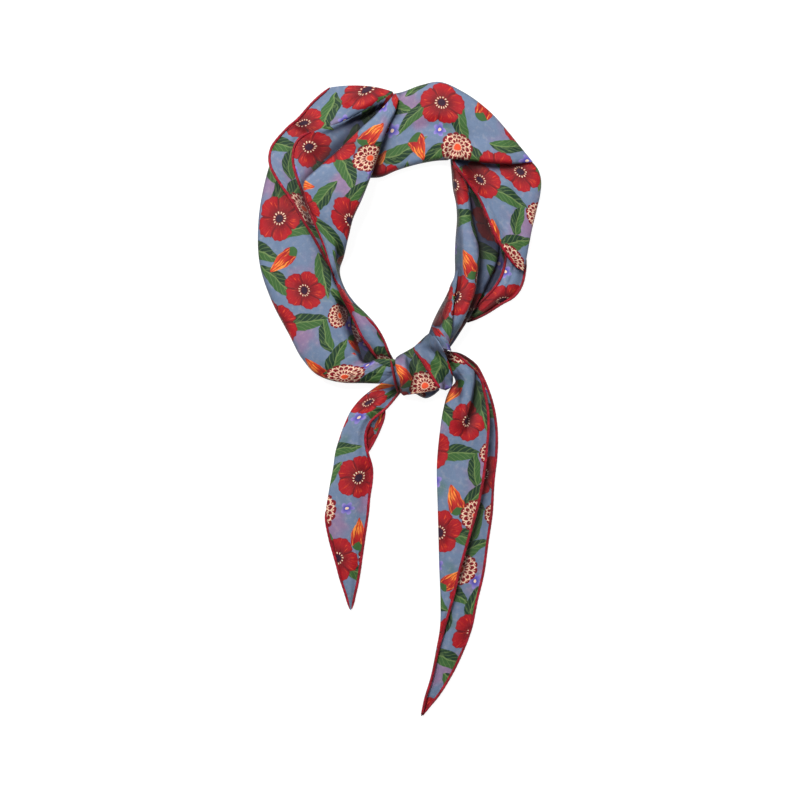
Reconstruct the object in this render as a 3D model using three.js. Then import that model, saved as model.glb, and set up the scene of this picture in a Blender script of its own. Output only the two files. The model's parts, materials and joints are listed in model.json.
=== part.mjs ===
// A silk neckerchief: a square scarf folded to a band, tied once in a loop, lying flat on a table.
// Millimetres. +Z is up, +Y runs from the tails to the top of the loop, and the cloth rests on z = 0.
import * as THREE from "three";

// Sizes of the tied scarf
const LOOP_WIDTH = 184;         // neck loop, outside edge to outside edge
const LOOP_HEIGHT = 188.5;      // from the knot's middle to the top of the loop
const SHORT_TAIL = 154;         // from the knot's middle to the short tail's point
const SHORT_WIDTH = 29.5;       // widest place of the short tail
const LONG_TAIL = 223;          // from the knot's middle to the long tail's point
const LONG_WIDTH = 39;          // widest place of the long tail

// Heights of the folded layers
const BAND_HEIGHT = 9;          // thickness of the folded band on the table
const FRONT_HEIGHT = 5.5;       // soft roll that lies on top of the band
const SLACK_HEIGHT = 3.6;       // loose single folds, such as those of the tails
const KNOT_HEIGHT = 8;          // thickness of one turn of the knot

// Cloth
const CLOTH = 1.2;              // wall of one folded layer
const HEM = 2.2;                // rolled hem, diameter
const CLEARANCE = 0.3;          // gap between layers that touch
const HEM_SIDES = 6;

// Levels that follow from the sizes: the middle of each layer's wall, layer upon layer
const FLOOR = CLOTH / 2;
const BAND_TOP = BAND_HEIGHT - CLOTH / 2;
const OUTER_LEVEL = BAND_HEIGHT + CLEARANCE + HEM / 2;
const MIDDLE_LEVEL = OUTER_LEVEL + CLOTH / 2 + CLEARANCE + HEM / 2;
const FRONT_LEVEL = MIDDLE_LEVEL + CLOTH + CLEARANCE;
const LOWER_LEVEL = BAND_HEIGHT + CLEARANCE + CLOTH / 2;
const INNER_LEVEL = CLOTH + CLEARANCE + HEM / 2;
const TURN_LEVEL = INNER_LEVEL + CLOTH + CLEARANCE;
const TAIL_TOP = FLOOR + CLOTH / 2 + CLEARANCE + HEM / 2;
const KNOT_LEVEL = BAND_HEIGHT + CLOTH / 2 + CLEARANCE;

// Where the knot's middle is in the loop's own width
const KNOT_ACROSS = 0.58;

const RED = 0xb3152c;
const BLUE = 0x7488aa;

const scarf = new THREE.Group();
scarf.name = "neckerchief";

const clothFinish = (tone) => new THREE.MeshStandardMaterial({ color: tone, roughness: 0.62, metalness: 0 });

// A table is a list of rows under named columns
function table(names, rows) {
  return rows.map((row) => Object.fromEntries(names.map((name, index) => [name, row[index]])));
}

// Places in the loop, as shares of its width and of its height above the knot
function loopPoint(across, up) {
  return new THREE.Vector2((across - KNOT_ACROSS) * LOOP_WIDTH, up * LOOP_HEIGHT);
}

// One station of a strip: its two edges and its heights
function loopStations(rows, base, rise) {
  return rows.map((row) => ({
    left: loopPoint(row.leftX, row.leftY),
    right: loopPoint(row.rightX, row.rightY),
    lowLeft: Math.max(FLOOR, base + row.lowLeft * rise),
    lowRight: Math.max(FLOOR, base + row.lowRight * rise),
    top: base + row.top * rise,
    pleat: row.pleat * rise,
  }));
}

// A tail's stations: along it and its sway are shares of its length, its width a share of its widest place
function tailStations(rows, length, width, base, rise) {
  return rows.map((row) => {
    const middle = row.sway * length;
    const half = row.width * width / 2;
    const down = -row.along * length;
    return {
      left: new THREE.Vector2(middle - half, down),
      right: new THREE.Vector2(middle + half, down),
      lowLeft: Math.max(FLOOR, base + row.lowLeft * rise),
      lowRight: Math.max(FLOOR, base + row.lowRight * rise),
      top: base + row.top * rise,
      pleat: row.pleat * rise,
    };
  });
}

// How an edge of a strip ends: folded back under, hanging down, or cut and hemmed
const FOLD = "fold";
const HANG = "hang";
const CUT = "cut";
const UNDER_SHARE = 0.4;        // how far a fold reaches back under the strip
const ROUND_SHARE = 0.3;        // the most of the width that a fold's rounding takes

// The left edge's half of a section, from its free end up to the top of the strip, as [across, height]
function edgeOutline(kind, width, low, top) {
  if (kind === CUT) return [[0, low]];
  const drop = (top - low) / 2;
  const reach = Math.min(Math.abs(drop), ROUND_SHARE * width);
  const slant = Math.SQRT1_2;
  const shoulder = [[reach * (1 - slant), low + drop * (1 + slant)], [reach, top]];
  if (kind === HANG) return [[0, low], [0, low + drop], ...shoulder];
  const under = Math.max(UNDER_SHARE * width, reach * 1.1);
  return [[under, low], [reach, low], [reach * (1 - slant), low + drop * (1 - slant)], [0, low + drop], ...shoulder];
}

// Crown and pleats between the two edges
const CROWN_PLACES = [0.2, 0.4, 0.6, 0.8];
const PLEAT_WAVE = [0.5, -0.6, 0.35, -0.2];

function sectionOutline(station, kinds) {
  const width = station.left.distanceTo(station.right);
  const leftHalf = edgeOutline(kinds[0], width, station.lowLeft, station.top);
  const rightHalf = edgeOutline(kinds[1], width, station.lowRight, station.top);
  const from = leftHalf[leftHalf.length - 1][0];
  const to = width - rightHalf[rightHalf.length - 1][0];
  const crown = CROWN_PLACES.map((share, index) => [
    from + (to - from) * share,
    station.top + station.pleat * PLEAT_WAVE[index],
  ]);
  const mirrored = rightHalf.map(([across, height]) => [width - across, height]).reverse();
  return { width, points: [...leftHalf, ...crown, ...mirrored] };
}

// The unit normal of an outline at one of its points
function outlineNormal(points, index) {
  const before = points[Math.max(index - 1, 0)];
  const after = points[Math.min(index + 1, points.length - 1)];
  return new THREE.Vector2(-(after[1] - before[1]), after[0] - before[0]).normalize();
}

// A closed body from rings of equal length, with quad strips between them and its two ends closed
function lofted(rings, endTriangles) {
  const size = rings[0].length;
  const positions = rings.flat().flatMap((point) => [point.x, point.y, point.z]);
  const index = [];
  for (let ring = 0; ring + 1 < rings.length; ring += 1) {
    for (let step = 0; step < size; step += 1) {
      const next = (step + 1) % size;
      const here = ring * size;
      const there = here + size;
      index.push(here + step, here + next, there + next);
      index.push(here + step, there + next, there + step);
    }
  }
  const last = (rings.length - 1) * size;
  for (const [a, b, c] of endTriangles) {
    index.push(c, b, a);
    index.push(last + a, last + b, last + c);
  }
  let volume = 0;
  const corner = (place) => rings[Math.floor(place / size)][place % size];
  for (let place = 0; place < index.length; place += 3) {
    const [a, b, c] = [corner(index[place]), corner(index[place + 1]), corner(index[place + 2])];
    volume += a.dot(b.clone().cross(c));
  }
  if (volume < 0) index.reverse();
  const geometry = new THREE.BufferGeometry();
  geometry.setAttribute("position", new THREE.Float32BufferAttribute(positions, 3));
  geometry.setIndex(index);
  geometry.computeVertexNormals();
  return geometry;
}

function addPiece(name, geometry, tone) {
  const piece = new THREE.Mesh(geometry, clothFinish(tone));
  piece.name = name;
  scarf.add(piece);
  return piece;
}

// A folded strip of cloth: the section's outline with the cloth's wall, lofted through the stations
function addStrip(name, stations, kinds) {
  const rings = stations.map((station) => {
    const { width, points } = sectionOutline(station, kinds);
    const direction = station.right.clone().sub(station.left).divideScalar(width);
    const place = ([across, height], normal, side) => {
      const shift = across + normal.x * side * CLOTH / 2;
      const spot = station.left.clone().addScaledVector(direction, shift);
      return new THREE.Vector3(spot.x, spot.y, height + normal.y * side * CLOTH / 2);
    };
    const normals = points.map((_, index) => outlineNormal(points, index));
    const outer = points.map((point, index) => place(point, normals[index], 1));
    const inner = points.map((point, index) => place(point, normals[index], -1));
    return [...outer, ...inner.reverse()];
  });
  const count = rings[0].length;
  const ends = [];
  for (let step = 0; step + 1 < count / 2; step += 1) {
    const mate = count - 1 - step;
    ends.push([step, step + 1, mate - 1], [step, mate - 1, mate]);
  }
  return addPiece(name, lofted(rings, ends), BLUE);
}

// The middle line of a hem that runs along one edge of some stations, just outside the cloth
const LEFT = 0;
const RIGHT = 1;
function hemLine(stations, kinds, side) {
  const edges = stations.map((station) => (side === LEFT ? station.left : station.right));
  const cut = kinds[side] === CUT;
  const offset = HEM / 2 + CLEARANCE + (cut ? 0 : CLOTH / 2);
  return stations.map((station, index) => {
    const before = edges[Math.max(index - 1, 0)];
    const after = edges[Math.min(index + 1, edges.length - 1)];
    const along = after.clone().sub(before).normalize();
    const outward = new THREE.Vector2(-along.y, along.x);
    const away = station.left.clone().sub(station.right).multiplyScalar(side === LEFT ? 1 : -1);
    if (outward.dot(away) < 0) outward.negate();
    const low = side === LEFT ? station.lowLeft : station.lowRight;
    const spot = edges[index].clone().addScaledVector(outward, offset);
    const height = Math.max(cut ? low : (low + station.top) / 2, HEM / 2);
    return new THREE.Vector3(spot.x, spot.y, height);
  });
}

function addHem(name, line) {
  const rings = line.map((point, index) => {
    const before = line[Math.max(index - 1, 0)];
    const after = line[Math.min(index + 1, line.length - 1)];
    const along = after.clone().sub(before).normalize();
    const side = along.clone().cross(new THREE.Vector3(0, 0, 1)).normalize();
    const up = side.clone().cross(along);
    return Array.from({ length: HEM_SIDES }, (_, step) => {
      const angle = (step / HEM_SIDES) * 2 * Math.PI;
      return point.clone()
        .addScaledVector(side, Math.cos(angle) * HEM / 2)
        .addScaledVector(up, Math.sin(angle) * HEM / 2);
    });
  });
  const ends = [];
  for (let step = 1; step + 1 < HEM_SIDES; step += 1) ends.push([0, step, step + 1]);
  return addPiece(name, lofted(rings, ends), RED);
}

const LOOP_COLUMNS = ["leftX", "leftY", "rightX", "rightY", "lowLeft", "lowRight", "top", "pleat"];
const TAIL_COLUMNS = ["along", "sway", "width", "lowLeft", "lowRight", "top", "pleat"];

// The band on the left side of the neck, from the top of the loop round to the knot
const bandLeft = loopStations(table(LOOP_COLUMNS, [
  [0.113, 0.845, 0.325, 0.679, 0, 0, 1, 0],
  [0.053, 0.741, 0.350, 0.603, 0, 0, 1, 0],
  [0.014, 0.597, 0.325, 0.555, 0, 0, 1, 0],
  [0.002, 0.476, 0.293, 0.486, 0, 0, 1, 0],
  [0.011, 0.362, 0.261, 0.397, 0, 0, 1, 0],
  [0.049, 0.252, 0.265, 0.314, 0, 0, 1, 0],
  [0.113, 0.131, 0.314, 0.224, 0, 0, 1, 0],
  [0.159, 0.048, 0.360, 0.155, 0, 0, 1, 0],
  [0.219, -0.017, 0.389, 0.097, 0, 0, 1, 0],
  [0.290, -0.034, 0.406, 0.055, 0, 0, 1, 0],
  [0.378, -0.034, 0.435, 0.041, 0.35, 0, 1, 0],
  [0.492, -0.036, 0.496, 0.036, 0.5, 0, 1, 0],
]), FLOOR, BAND_TOP - FLOOR);
addStrip("band_left", bandLeft, [FOLD, FOLD]);

// The outer fold of the two layers that lie on the left band
const foldOuter = loopStations(table(LOOP_COLUMNS, [
  [0.254, 0.990, 0.431, 0.969, -0.5, 0, 0, 0],
  [0.198, 0.934, 0.403, 0.890, -0.4, 0, 0, 0],
  [0.148, 0.879, 0.367, 0.821, -0.3, 0, 0, 0],
  [0.092, 0.824, 0.325, 0.741, -0.2, 0, 0, 0],
  [0.049, 0.769, 0.297, 0.679, -0.1, 0, 0, 0],
  [0.049, 0.707, 0.283, 0.624, 0, 0, 0, 0],
  [0.088, 0.641, 0.279, 0.576, 0, 0, 0, 0],
  [0.124, 0.590, 0.272, 0.534, 0, 0, 0, 0],
  [0.163, 0.524, 0.269, 0.479, 0, 0, 0, 0],
  [0.198, 0.469, 0.269, 0.434, 0, 0, 0, 0],
  [0.233, 0.407, 0.268, 0.397, 0, 0, 0, 0],
]), OUTER_LEVEL, FRONT_HEIGHT);
addStrip("fold_outer", foldOuter, [CUT, CUT]);
addHem("hem_outer", hemLine(foldOuter, [CUT, CUT], LEFT));

// The inner of the two layers, which opens the pocket under the front roll
const foldMiddle = loopStations(table(LOOP_COLUMNS, [
  [0.459, 0.952, 0.466, 0.914, 0, 0, 0, 0],
  [0.403, 0.914, 0.431, 0.866, 0, 0, 0, 0],
  [0.297, 0.862, 0.367, 0.786, 0, 0, 0, 0],
  [0.212, 0.834, 0.307, 0.728, 0, 0, 0, 0],
  [0.145, 0.797, 0.254, 0.679, 0, 0, 0, 0],
  [0.127, 0.745, 0.219, 0.652, 0, 0, 0, 0],
  [0.134, 0.693, 0.198, 0.624, 0, 0, 0, 0],
  [0.155, 0.645, 0.191, 0.597, 0, 0, 0, 0],
]), MIDDLE_LEVEL, FRONT_HEIGHT);
addStrip("fold_middle", foldMiddle, [CUT, CUT]);
addHem("hem_middle", hemLine(foldMiddle, [CUT, CUT], LEFT));

// The front roll, whose inner side hangs down over the neck opening
const foldFront = loopStations(table(LOOP_COLUMNS, [
  [0.449, 0.921, 0.466, 0.897, 0, -0.5, 0.5, 0],
  [0.410, 0.879, 0.452, 0.838, 0, -0.5, 0.9, 0],
  [0.350, 0.821, 0.435, 0.779, 0, -0.5, 1, 0.2],
  [0.290, 0.766, 0.417, 0.724, 0, -0.5, 1, 0.3],
  [0.226, 0.707, 0.392, 0.655, 0, -0.5, 1, 0.3],
  [0.166, 0.645, 0.364, 0.586, 0, -3, 1, 0.4],
  [0.170, 0.593, 0.339, 0.534, 0, -3, 1, 0.4],
  [0.198, 0.524, 0.322, 0.472, 0, -3, 0.9, 0.3],
  [0.237, 0.438, 0.304, 0.403, 0, -3, 0.8, 0.2],
  [0.265, 0.362, 0.290, 0.352, 0, -3, 0.7, 0],
]), FRONT_LEVEL, FRONT_HEIGHT);
addStrip("fold_front", foldFront, [FOLD, HANG]);

// The same roll below its pinch, down to the knot
const foldLower = loopStations(table(LOOP_COLUMNS, [
  [0.276, 0.331, 0.297, 0.324, 0, -3, 0.7, 0],
  [0.297, 0.283, 0.329, 0.252, 0, -3, 0.7, 0],
  [0.325, 0.217, 0.385, 0.200, 0, -3, 0.8, 0],
  [0.350, 0.162, 0.424, 0.159, 0, -3, 0.8, 0],
  [0.378, 0.103, 0.449, 0.110, 0, -3, 0.7, 0],
  [0.420, 0.056, 0.470, 0.066, 0.1, -3, 0.6, 0],
]), LOWER_LEVEL, FRONT_HEIGHT);
addStrip("fold_lower", foldLower, [FOLD, HANG]);
addHem("hem_front", [
  ...hemLine(foldFront.slice(5), [FOLD, HANG], LEFT),
  ...hemLine(foldLower, [FOLD, HANG], LEFT),
]);

// The band over the top of the loop, whose right end folds down
const bandTop = loopStations(table(LOOP_COLUMNS, [
  [0.332, 0.928, 0.382, 0.672, 0, 0, 1, 0],
  [0.424, 0.969, 0.438, 0.676, 0, 0, 1, 0],
  [0.495, 0.969, 0.488, 0.697, 0, 0, 1, 0.2],
  [0.580, 0.990, 0.572, 0.721, 0, 0, 1.05, 0.3],
  [0.643, 1.000, 0.632, 0.733, 0, 0.35, 1.1, 0.3],
  [0.724, 0.966, 0.686, 0.728, 0, 0.7, 1.25, 0.3],
  [0.816, 0.900, 0.756, 0.728, 0, 0.7, 1.35, 0.2],
  [0.887, 0.824, 0.830, 0.721, 0.4, 0.7, 1.35, 0.1],
  [0.940, 0.752, 0.898, 0.717, 0.75, 0.75, 1.35, 0],
  [0.989, 0.697, 0.954, 0.710, 0.8, 0.8, 1.35, 0],
]), FLOOR, BAND_TOP - FLOOR);
addStrip("band_top", bandTop, [FOLD, FOLD]);

// The flap that turns down at the right
const bandTurn = loopStations(table(LOOP_COLUMNS, [
  [0.700, 0.724, 0.980, 0.697, 0.5, 0, 0.75, 0],
  [0.709, 0.697, 0.994, 0.672, 0.5, 0, 0.6, 0],
  [0.742, 0.662, 0.993, 0.631, 0.8, 0, 0.9, 0.1],
  [0.781, 0.610, 0.979, 0.569, 0.8, 0, 0.9, 0.1],
  [0.813, 0.541, 0.965, 0.507, 0.8, 0, 0.9, 0.1],
  [0.845, 0.469, 0.954, 0.448, 0.7, 0, 0.8, 0],
  [0.883, 0.410, 0.943, 0.397, 0.6, 0, 0.7, 0],
  [0.919, 0.362, 0.935, 0.355, 0.4, 0, 0.5, 0],
]), TURN_LEVEL, FRONT_HEIGHT);
addStrip("band_turn", bandTurn, [CUT, FOLD]);
addHem("hem_turn", hemLine(bandTurn.slice(1), [CUT, FOLD], LEFT));

// Two hemmed layers that come out under the flap
const flapUnder = loopStations(table(LOOP_COLUMNS, [
  [0.724, 0.190, 0.735, 0.172, 0, 0, 0, 0],
  [0.756, 0.241, 0.806, 0.217, 0, 0, 0, 0],
  [0.792, 0.293, 0.876, 0.259, 0, 0, 0, 0],
  [0.827, 0.355, 0.929, 0.290, 0, 0, 0, 0],
  [0.848, 0.410, 0.936, 0.334, 0, 0, 0, 0],
  [0.855, 0.466, 0.943, 0.407, 0, 0, 0, 0],
  [0.848, 0.521, 0.958, 0.476, 0, 0, 0, 0],
  [0.848, 0.600, 0.968, 0.570, 0, 0, 0, 0],
  [0.848, 0.660, 0.975, 0.650, 0, 0, 0, 0],
]), FLOOR, FRONT_HEIGHT);
addStrip("flap_under", flapUnder, [CUT, CUT]);
addHem("hem_under", hemLine(flapUnder.slice(0, 5), [CUT, CUT], RIGHT));

const flapInner = loopStations(table(LOOP_COLUMNS, [
  [0.721, 0.203, 0.739, 0.193, 0, 0, 0, 0],
  [0.749, 0.255, 0.784, 0.238, 0, 0, 0, 0],
  [0.777, 0.310, 0.827, 0.279, 0, 0, 0, 0],
  [0.802, 0.369, 0.859, 0.331, 0, 0, 0, 0],
  [0.816, 0.424, 0.876, 0.400, 0, 0, 0, 0],
  [0.820, 0.486, 0.883, 0.459, 0, 0, 0, 0],
]), INNER_LEVEL, FRONT_HEIGHT);
addStrip("flap_inner", flapInner, [CUT, CUT]);
addHem("hem_inner", hemLine(flapInner, [CUT, CUT], RIGHT));

// Two rolls that twist together on the way from the flap to the knot
const rollInner = loopStations(table(LOOP_COLUMNS, [
  [0.664, 0.741, 0.700, 0.734, 0, 0, 0.3, 0],
  [0.686, 0.683, 0.714, 0.679, 0, 0, 0.5, 0],
  [0.696, 0.614, 0.739, 0.617, 0, 0, 1, 0],
  [0.703, 0.531, 0.756, 0.538, 0, 0, 1.05, 0],
  [0.696, 0.459, 0.770, 0.459, 0, 0, 1.05, 0.1],
  [0.700, 0.383, 0.781, 0.390, 0, 0, 1.05, 0.1],
  [0.689, 0.314, 0.763, 0.317, 0, 0, 1.1, 0],
  [0.664, 0.245, 0.721, 0.255, 0, 0, 1.1, 0],
  [0.633, 0.186, 0.689, 0.190, 0, 0, 1, 0],
  [0.604, 0.138, 0.668, 0.128, 0, 0, 0.95, 0],
  [0.587, 0.097, 0.643, 0.072, 0, 0, 0.9, 0],
]), FLOOR, BAND_TOP - FLOOR);
addStrip("roll_inner", rollInner, [FOLD, FOLD]);

const rollMiddle = loopStations(table(LOOP_COLUMNS, [
  [0.777, 0.579, 0.826, 0.535, 0, 0, 0.2, 0],
  [0.788, 0.510, 0.838, 0.472, 0, 0, 0.25, 0],
  [0.792, 0.441, 0.841, 0.403, 0, 0, 0.45, 0],
  [0.790, 0.372, 0.823, 0.352, 0, 0, 0.7, 0],
  [0.766, 0.297, 0.795, 0.286, 0, 0, 0.8, 0],
  [0.731, 0.245, 0.770, 0.241, 0, 0, 0.8, 0],
  [0.703, 0.197, 0.742, 0.190, 0, 0, 0.8, 0],
  [0.686, 0.145, 0.710, 0.138, 0, 0, 0.8, 0],
  [0.664, 0.090, 0.682, 0.086, 0, 0, 0.7, 0],
]), TURN_LEVEL, BAND_TOP - FLOOR);
addStrip("roll_middle", rollMiddle, [FOLD, FOLD]);

// The knot: two turns of the band side by side, arched over what passes through
const knotLeft = loopStations(table(LOOP_COLUMNS, [
  [0.495, 0.045, 0.540, 0.083, 0, 0, 0.5, 0],
  [0.484, -0.003, 0.562, 0.062, 0, 0, 0.9, 0.1],
  [0.491, -0.045, 0.587, 0.028, 0, 0, 1.1, 0.2],
  [0.516, -0.069, 0.611, -0.007, 0, 0, 1.1, 0.2],
  [0.555, -0.079, 0.633, -0.034, -0.4, -0.4, 0.8, 0.1],
  [0.594, -0.083, 0.654, -0.055, -0.9, -0.9, 0.2, 0],
]), KNOT_LEVEL, KNOT_HEIGHT);
addStrip("knot_left", knotLeft, [FOLD, FOLD]);
addHem("hem_knot", hemLine(knotLeft, [FOLD, FOLD], RIGHT));

const knotRight = loopStations(table(LOOP_COLUMNS, [
  [0.565, 0.099, 0.608, 0.134, 0, 0, 0.3, 0],
  [0.587, 0.069, 0.636, 0.110, 0, 0, 0.7, 0.1],
  [0.611, 0.031, 0.661, 0.069, 0, 0, 0.9, 0.1],
  [0.637, -0.002, 0.678, 0.024, 0, 0, 0.9, 0.1],
  [0.658, -0.034, 0.682, -0.017, -0.4, -0.4, 0.6, 0],
]), KNOT_LEVEL, KNOT_HEIGHT);
addStrip("knot_right", knotRight, [FOLD, FOLD]);

// The short tail: a front layer folded along its left, and the layer behind it
const shortFront = tailStations(table(TAIL_COLUMNS, [
  [0.030, -0.093, 0.36, -1, 0, 0, 0],
  [0.063, -0.131, 0.49, -1, 0, 0.1, 0],
  [0.093, -0.167, 0.64, -1, 0, 0.3, 0],
  [0.139, -0.215, 0.76, -1, 0, 0.6, 0],
  [0.203, -0.266, 0.53, -1, 0, 0.6, 0],
  [0.262, -0.287, 0.53, -1, 0, 0.6, 0],
  [0.338, -0.293, 0.73, -1, 0, 0.6, 0.2],
  [0.430, -0.293, 0.87, -1, 0, 0.6, 0.3],
  [0.532, -0.308, 0.93, -1, 0, 0.5, 0.2],
  [0.591, -0.319, 0.91, -1, 0, 0.4, 0],
  [0.688, -0.319, 0.78, -1, 0, 0.3, 0],
  [0.772, -0.310, 0.60, -1, 0, 0.2, 0],
  [0.869, -0.304, 0.36, -1, 0, 0.1, 0],
  [0.966, -0.298, 0.12, -0.5, 0, 0, 0],
]), SHORT_TAIL, SHORT_WIDTH, TAIL_TOP, SLACK_HEIGHT);
addStrip("tail_short_front", shortFront, [HANG, CUT]);
addHem("hem_short_front", hemLine(shortFront.slice(1), [HANG, CUT], RIGHT));

const shortBack = tailStations(table(TAIL_COLUMNS, [
  [0.114, -0.194, 0.44, 0, 0, 0, 0],
  [0.165, -0.215, 0.58, 0, 0, 0, 0],
  [0.211, -0.228, 0.62, 0, 0, 0, 0],
  [0.283, -0.253, 0.62, 0, 0, 0, 0],
  [0.346, -0.276, 0.51, 0, 0, 0, 0],
  [0.430, -0.281, 0.47, 0, 0, 0, 0],
]), SHORT_TAIL, SHORT_WIDTH, FLOOR, SLACK_HEIGHT);
addStrip("tail_short_back", shortBack, [CUT, CUT]);

// The long tail, built the same way, with its wider layer behind
const longFront = tailStations(table(TAIL_COLUMNS, [
  [-0.047, 0.078, 0.35, -1, 0, 1.6, 0],
  [-0.020, 0.098, 0.45, -1, 0, 1.5, 0],
  [0.015, 0.127, 0.48, -1, 0, 1.3, 0],
  [0.050, 0.131, 0.60, -1, 0, 1.1, 0.1],
  [0.096, 0.130, 0.73, -1, 0, 1, 0.2],
  [0.160, 0.124, 0.82, -1, 0, 1, 0.3],
  [0.239, 0.117, 0.83, -1, 0, 0.9, 0.3],
  [0.309, 0.113, 0.77, -1, 0, 0.8, 0.2],
  [0.379, 0.107, 0.675, -1, 0, 0.7, 0.1],
  [0.461, 0.099, 0.56, -1, 0, 0.6, 0],
  [0.545, 0.090, 0.425, -1, 0, 0.4, 0],
  [0.627, 0.078, 0.25, -0.5, 0, 0.1, 0],
]), LONG_TAIL, LONG_WIDTH, TAIL_TOP, SLACK_HEIGHT);
addStrip("tail_long_front", longFront, [HANG, CUT]);
addHem("hem_long_front", hemLine(longFront.slice(3), [HANG, CUT], RIGHT));

const longBack = tailStations(table(TAIL_COLUMNS, [
  [0.000, 0.133, 0.32, 0, 0, 0, 0],
  [0.050, 0.156, 0.45, 0, 0, 0, 0],
  [0.096, 0.163, 0.53, 0, 0, 0, 0],
  [0.160, 0.165, 0.62, 0, 0, 0, 0],
  [0.239, 0.162, 0.65, 0, 0, 0, 0],
  [0.309, 0.155, 0.64, 0, 0, 0, 0],
  [0.414, 0.146, 0.67, 0, 0, 0, 0],
  [0.487, 0.136, 0.66, 0, 0, 0, 0],
  [0.586, 0.125, 0.63, 0, 0, 0, 0],
  [0.662, 0.112, 0.57, 0, 0, 0, 0],
  [0.749, 0.101, 0.50, 0, 0, 0, 0],
  [0.810, 0.085, 0.43, 0, 0, 0, 0],
  [0.883, 0.060, 0.35, 0, 0, 0, 0],
  [0.942, 0.032, 0.27, 0, 0, 0, 0],
  [0.982, 0.009, 0.16, 0, 0, 0, 0],
]), LONG_TAIL, LONG_WIDTH, FLOOR, SLACK_HEIGHT);
addStrip("tail_long_back", longBack, [CUT, CUT]);
addHem("hem_long_back", hemLine(longBack, [CUT, CUT], RIGHT));

// The frame's origin is under the middle of the whole piece, on the table
const reach = new THREE.Box3().setFromObject(scarf);
const centre = reach.getCenter(new THREE.Vector3());
scarf.position.set(-centre.x, -centre.y, -reach.min.z);
scarf.updateMatrixWorld(true);

export default scarf;
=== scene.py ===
"""A knotted silk neckerchief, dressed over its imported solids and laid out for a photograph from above."""

import json
import math

import bpy
import numpy as np
from bpy.props import FloatProperty, FloatVectorProperty, IntProperty, PointerProperty
from bpy.types import Operator, Panel, PropertyGroup
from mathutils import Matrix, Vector, noise

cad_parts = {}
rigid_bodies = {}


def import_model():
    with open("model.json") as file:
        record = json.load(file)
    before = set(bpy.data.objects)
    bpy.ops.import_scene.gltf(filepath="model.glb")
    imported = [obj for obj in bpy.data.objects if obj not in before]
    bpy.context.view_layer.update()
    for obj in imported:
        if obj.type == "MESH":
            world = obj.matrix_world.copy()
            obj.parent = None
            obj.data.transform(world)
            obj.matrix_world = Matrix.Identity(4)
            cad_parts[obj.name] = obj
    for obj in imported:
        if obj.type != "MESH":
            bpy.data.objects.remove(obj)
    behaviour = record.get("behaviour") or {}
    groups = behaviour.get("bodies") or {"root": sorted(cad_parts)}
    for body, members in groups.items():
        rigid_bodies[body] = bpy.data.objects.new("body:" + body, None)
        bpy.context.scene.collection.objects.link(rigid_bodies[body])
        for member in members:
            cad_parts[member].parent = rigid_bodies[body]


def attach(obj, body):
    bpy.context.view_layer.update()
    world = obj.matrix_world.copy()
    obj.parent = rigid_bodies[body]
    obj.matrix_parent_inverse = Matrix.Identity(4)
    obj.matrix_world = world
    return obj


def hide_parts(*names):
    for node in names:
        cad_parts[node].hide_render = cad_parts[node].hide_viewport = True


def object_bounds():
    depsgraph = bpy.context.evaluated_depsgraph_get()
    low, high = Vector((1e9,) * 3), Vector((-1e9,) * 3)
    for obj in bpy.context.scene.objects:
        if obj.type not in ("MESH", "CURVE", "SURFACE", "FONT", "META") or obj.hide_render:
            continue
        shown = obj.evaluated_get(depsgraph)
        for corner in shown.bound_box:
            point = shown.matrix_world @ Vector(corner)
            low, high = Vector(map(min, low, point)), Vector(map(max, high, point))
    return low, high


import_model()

bl_info = {
    "name": "Silk neckerchief",
    "version": (1, 0, 0),
    "blender": (4, 5, 0),
    "location": "View3D > Sidebar > Scarf",
    "description": "Lays a knotted silk scarf with rolled hems and a botanical print",
    "category": "Object",
}

CAD_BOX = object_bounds()

# Where the knot's middle lies in the frame, and its share of the loop's width
KNOT_AT = (0.0151, 0.0157)
KNOT_ACROSS = 0.58


def tone(red, green, blue):
    """A colour given as 0 to 255, in the linear values that Blender keeps"""
    def linear(value):
        share = value / 255
        return share / 12.92 if share <= 0.04045 else ((share + 0.055) / 1.055) ** 2.4
    return (linear(red), linear(green), linear(blue))


def length(name, description, default):
    """A length setting"""
    return FloatProperty(name=name, description=description, default=default, unit="LENGTH")


def pigment(name, description, default):
    """A colour setting"""
    return FloatVectorProperty(name=name, description=description, default=default, subtype="COLOR")


class ScarfSizes(PropertyGroup):
    """Sizes of the tied scarf and of its cloth"""

    loop_width: length("Loop width", "Neck loop, outside edge to outside edge", 0.184)
    loop_height: length("Loop height", "From the knot's middle to the top", 0.1885)
    short_tail: length("Short tail", "From the knot's middle to its point", 0.154)
    short_width: length("Short tail width", "Widest place of the short tail", 0.0295)
    long_tail: length("Long tail", "From the knot's middle to its point", 0.223)
    long_width: length("Long tail width", "Widest place of the long tail", 0.039)
    band_height: length("Band height", "Thickness of the folded band", 0.009)
    front_height: length("Front height", "Thickness of the roll on top", 0.0062)
    knot_height: length("Knot height", "Thickness of one turn of the knot", 0.0085)
    cloth: length("Cloth", "Thickness of the silk as it is drawn", 0.0005)
    hem: length("Hem", "Diameter of the rolled hem", 0.0018)
    step: length("Step", "Distance between two stations of a strip", 0.0012)
    repeat: length("Repeat", "Side of the print's square repeat", 0.108)


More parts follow.
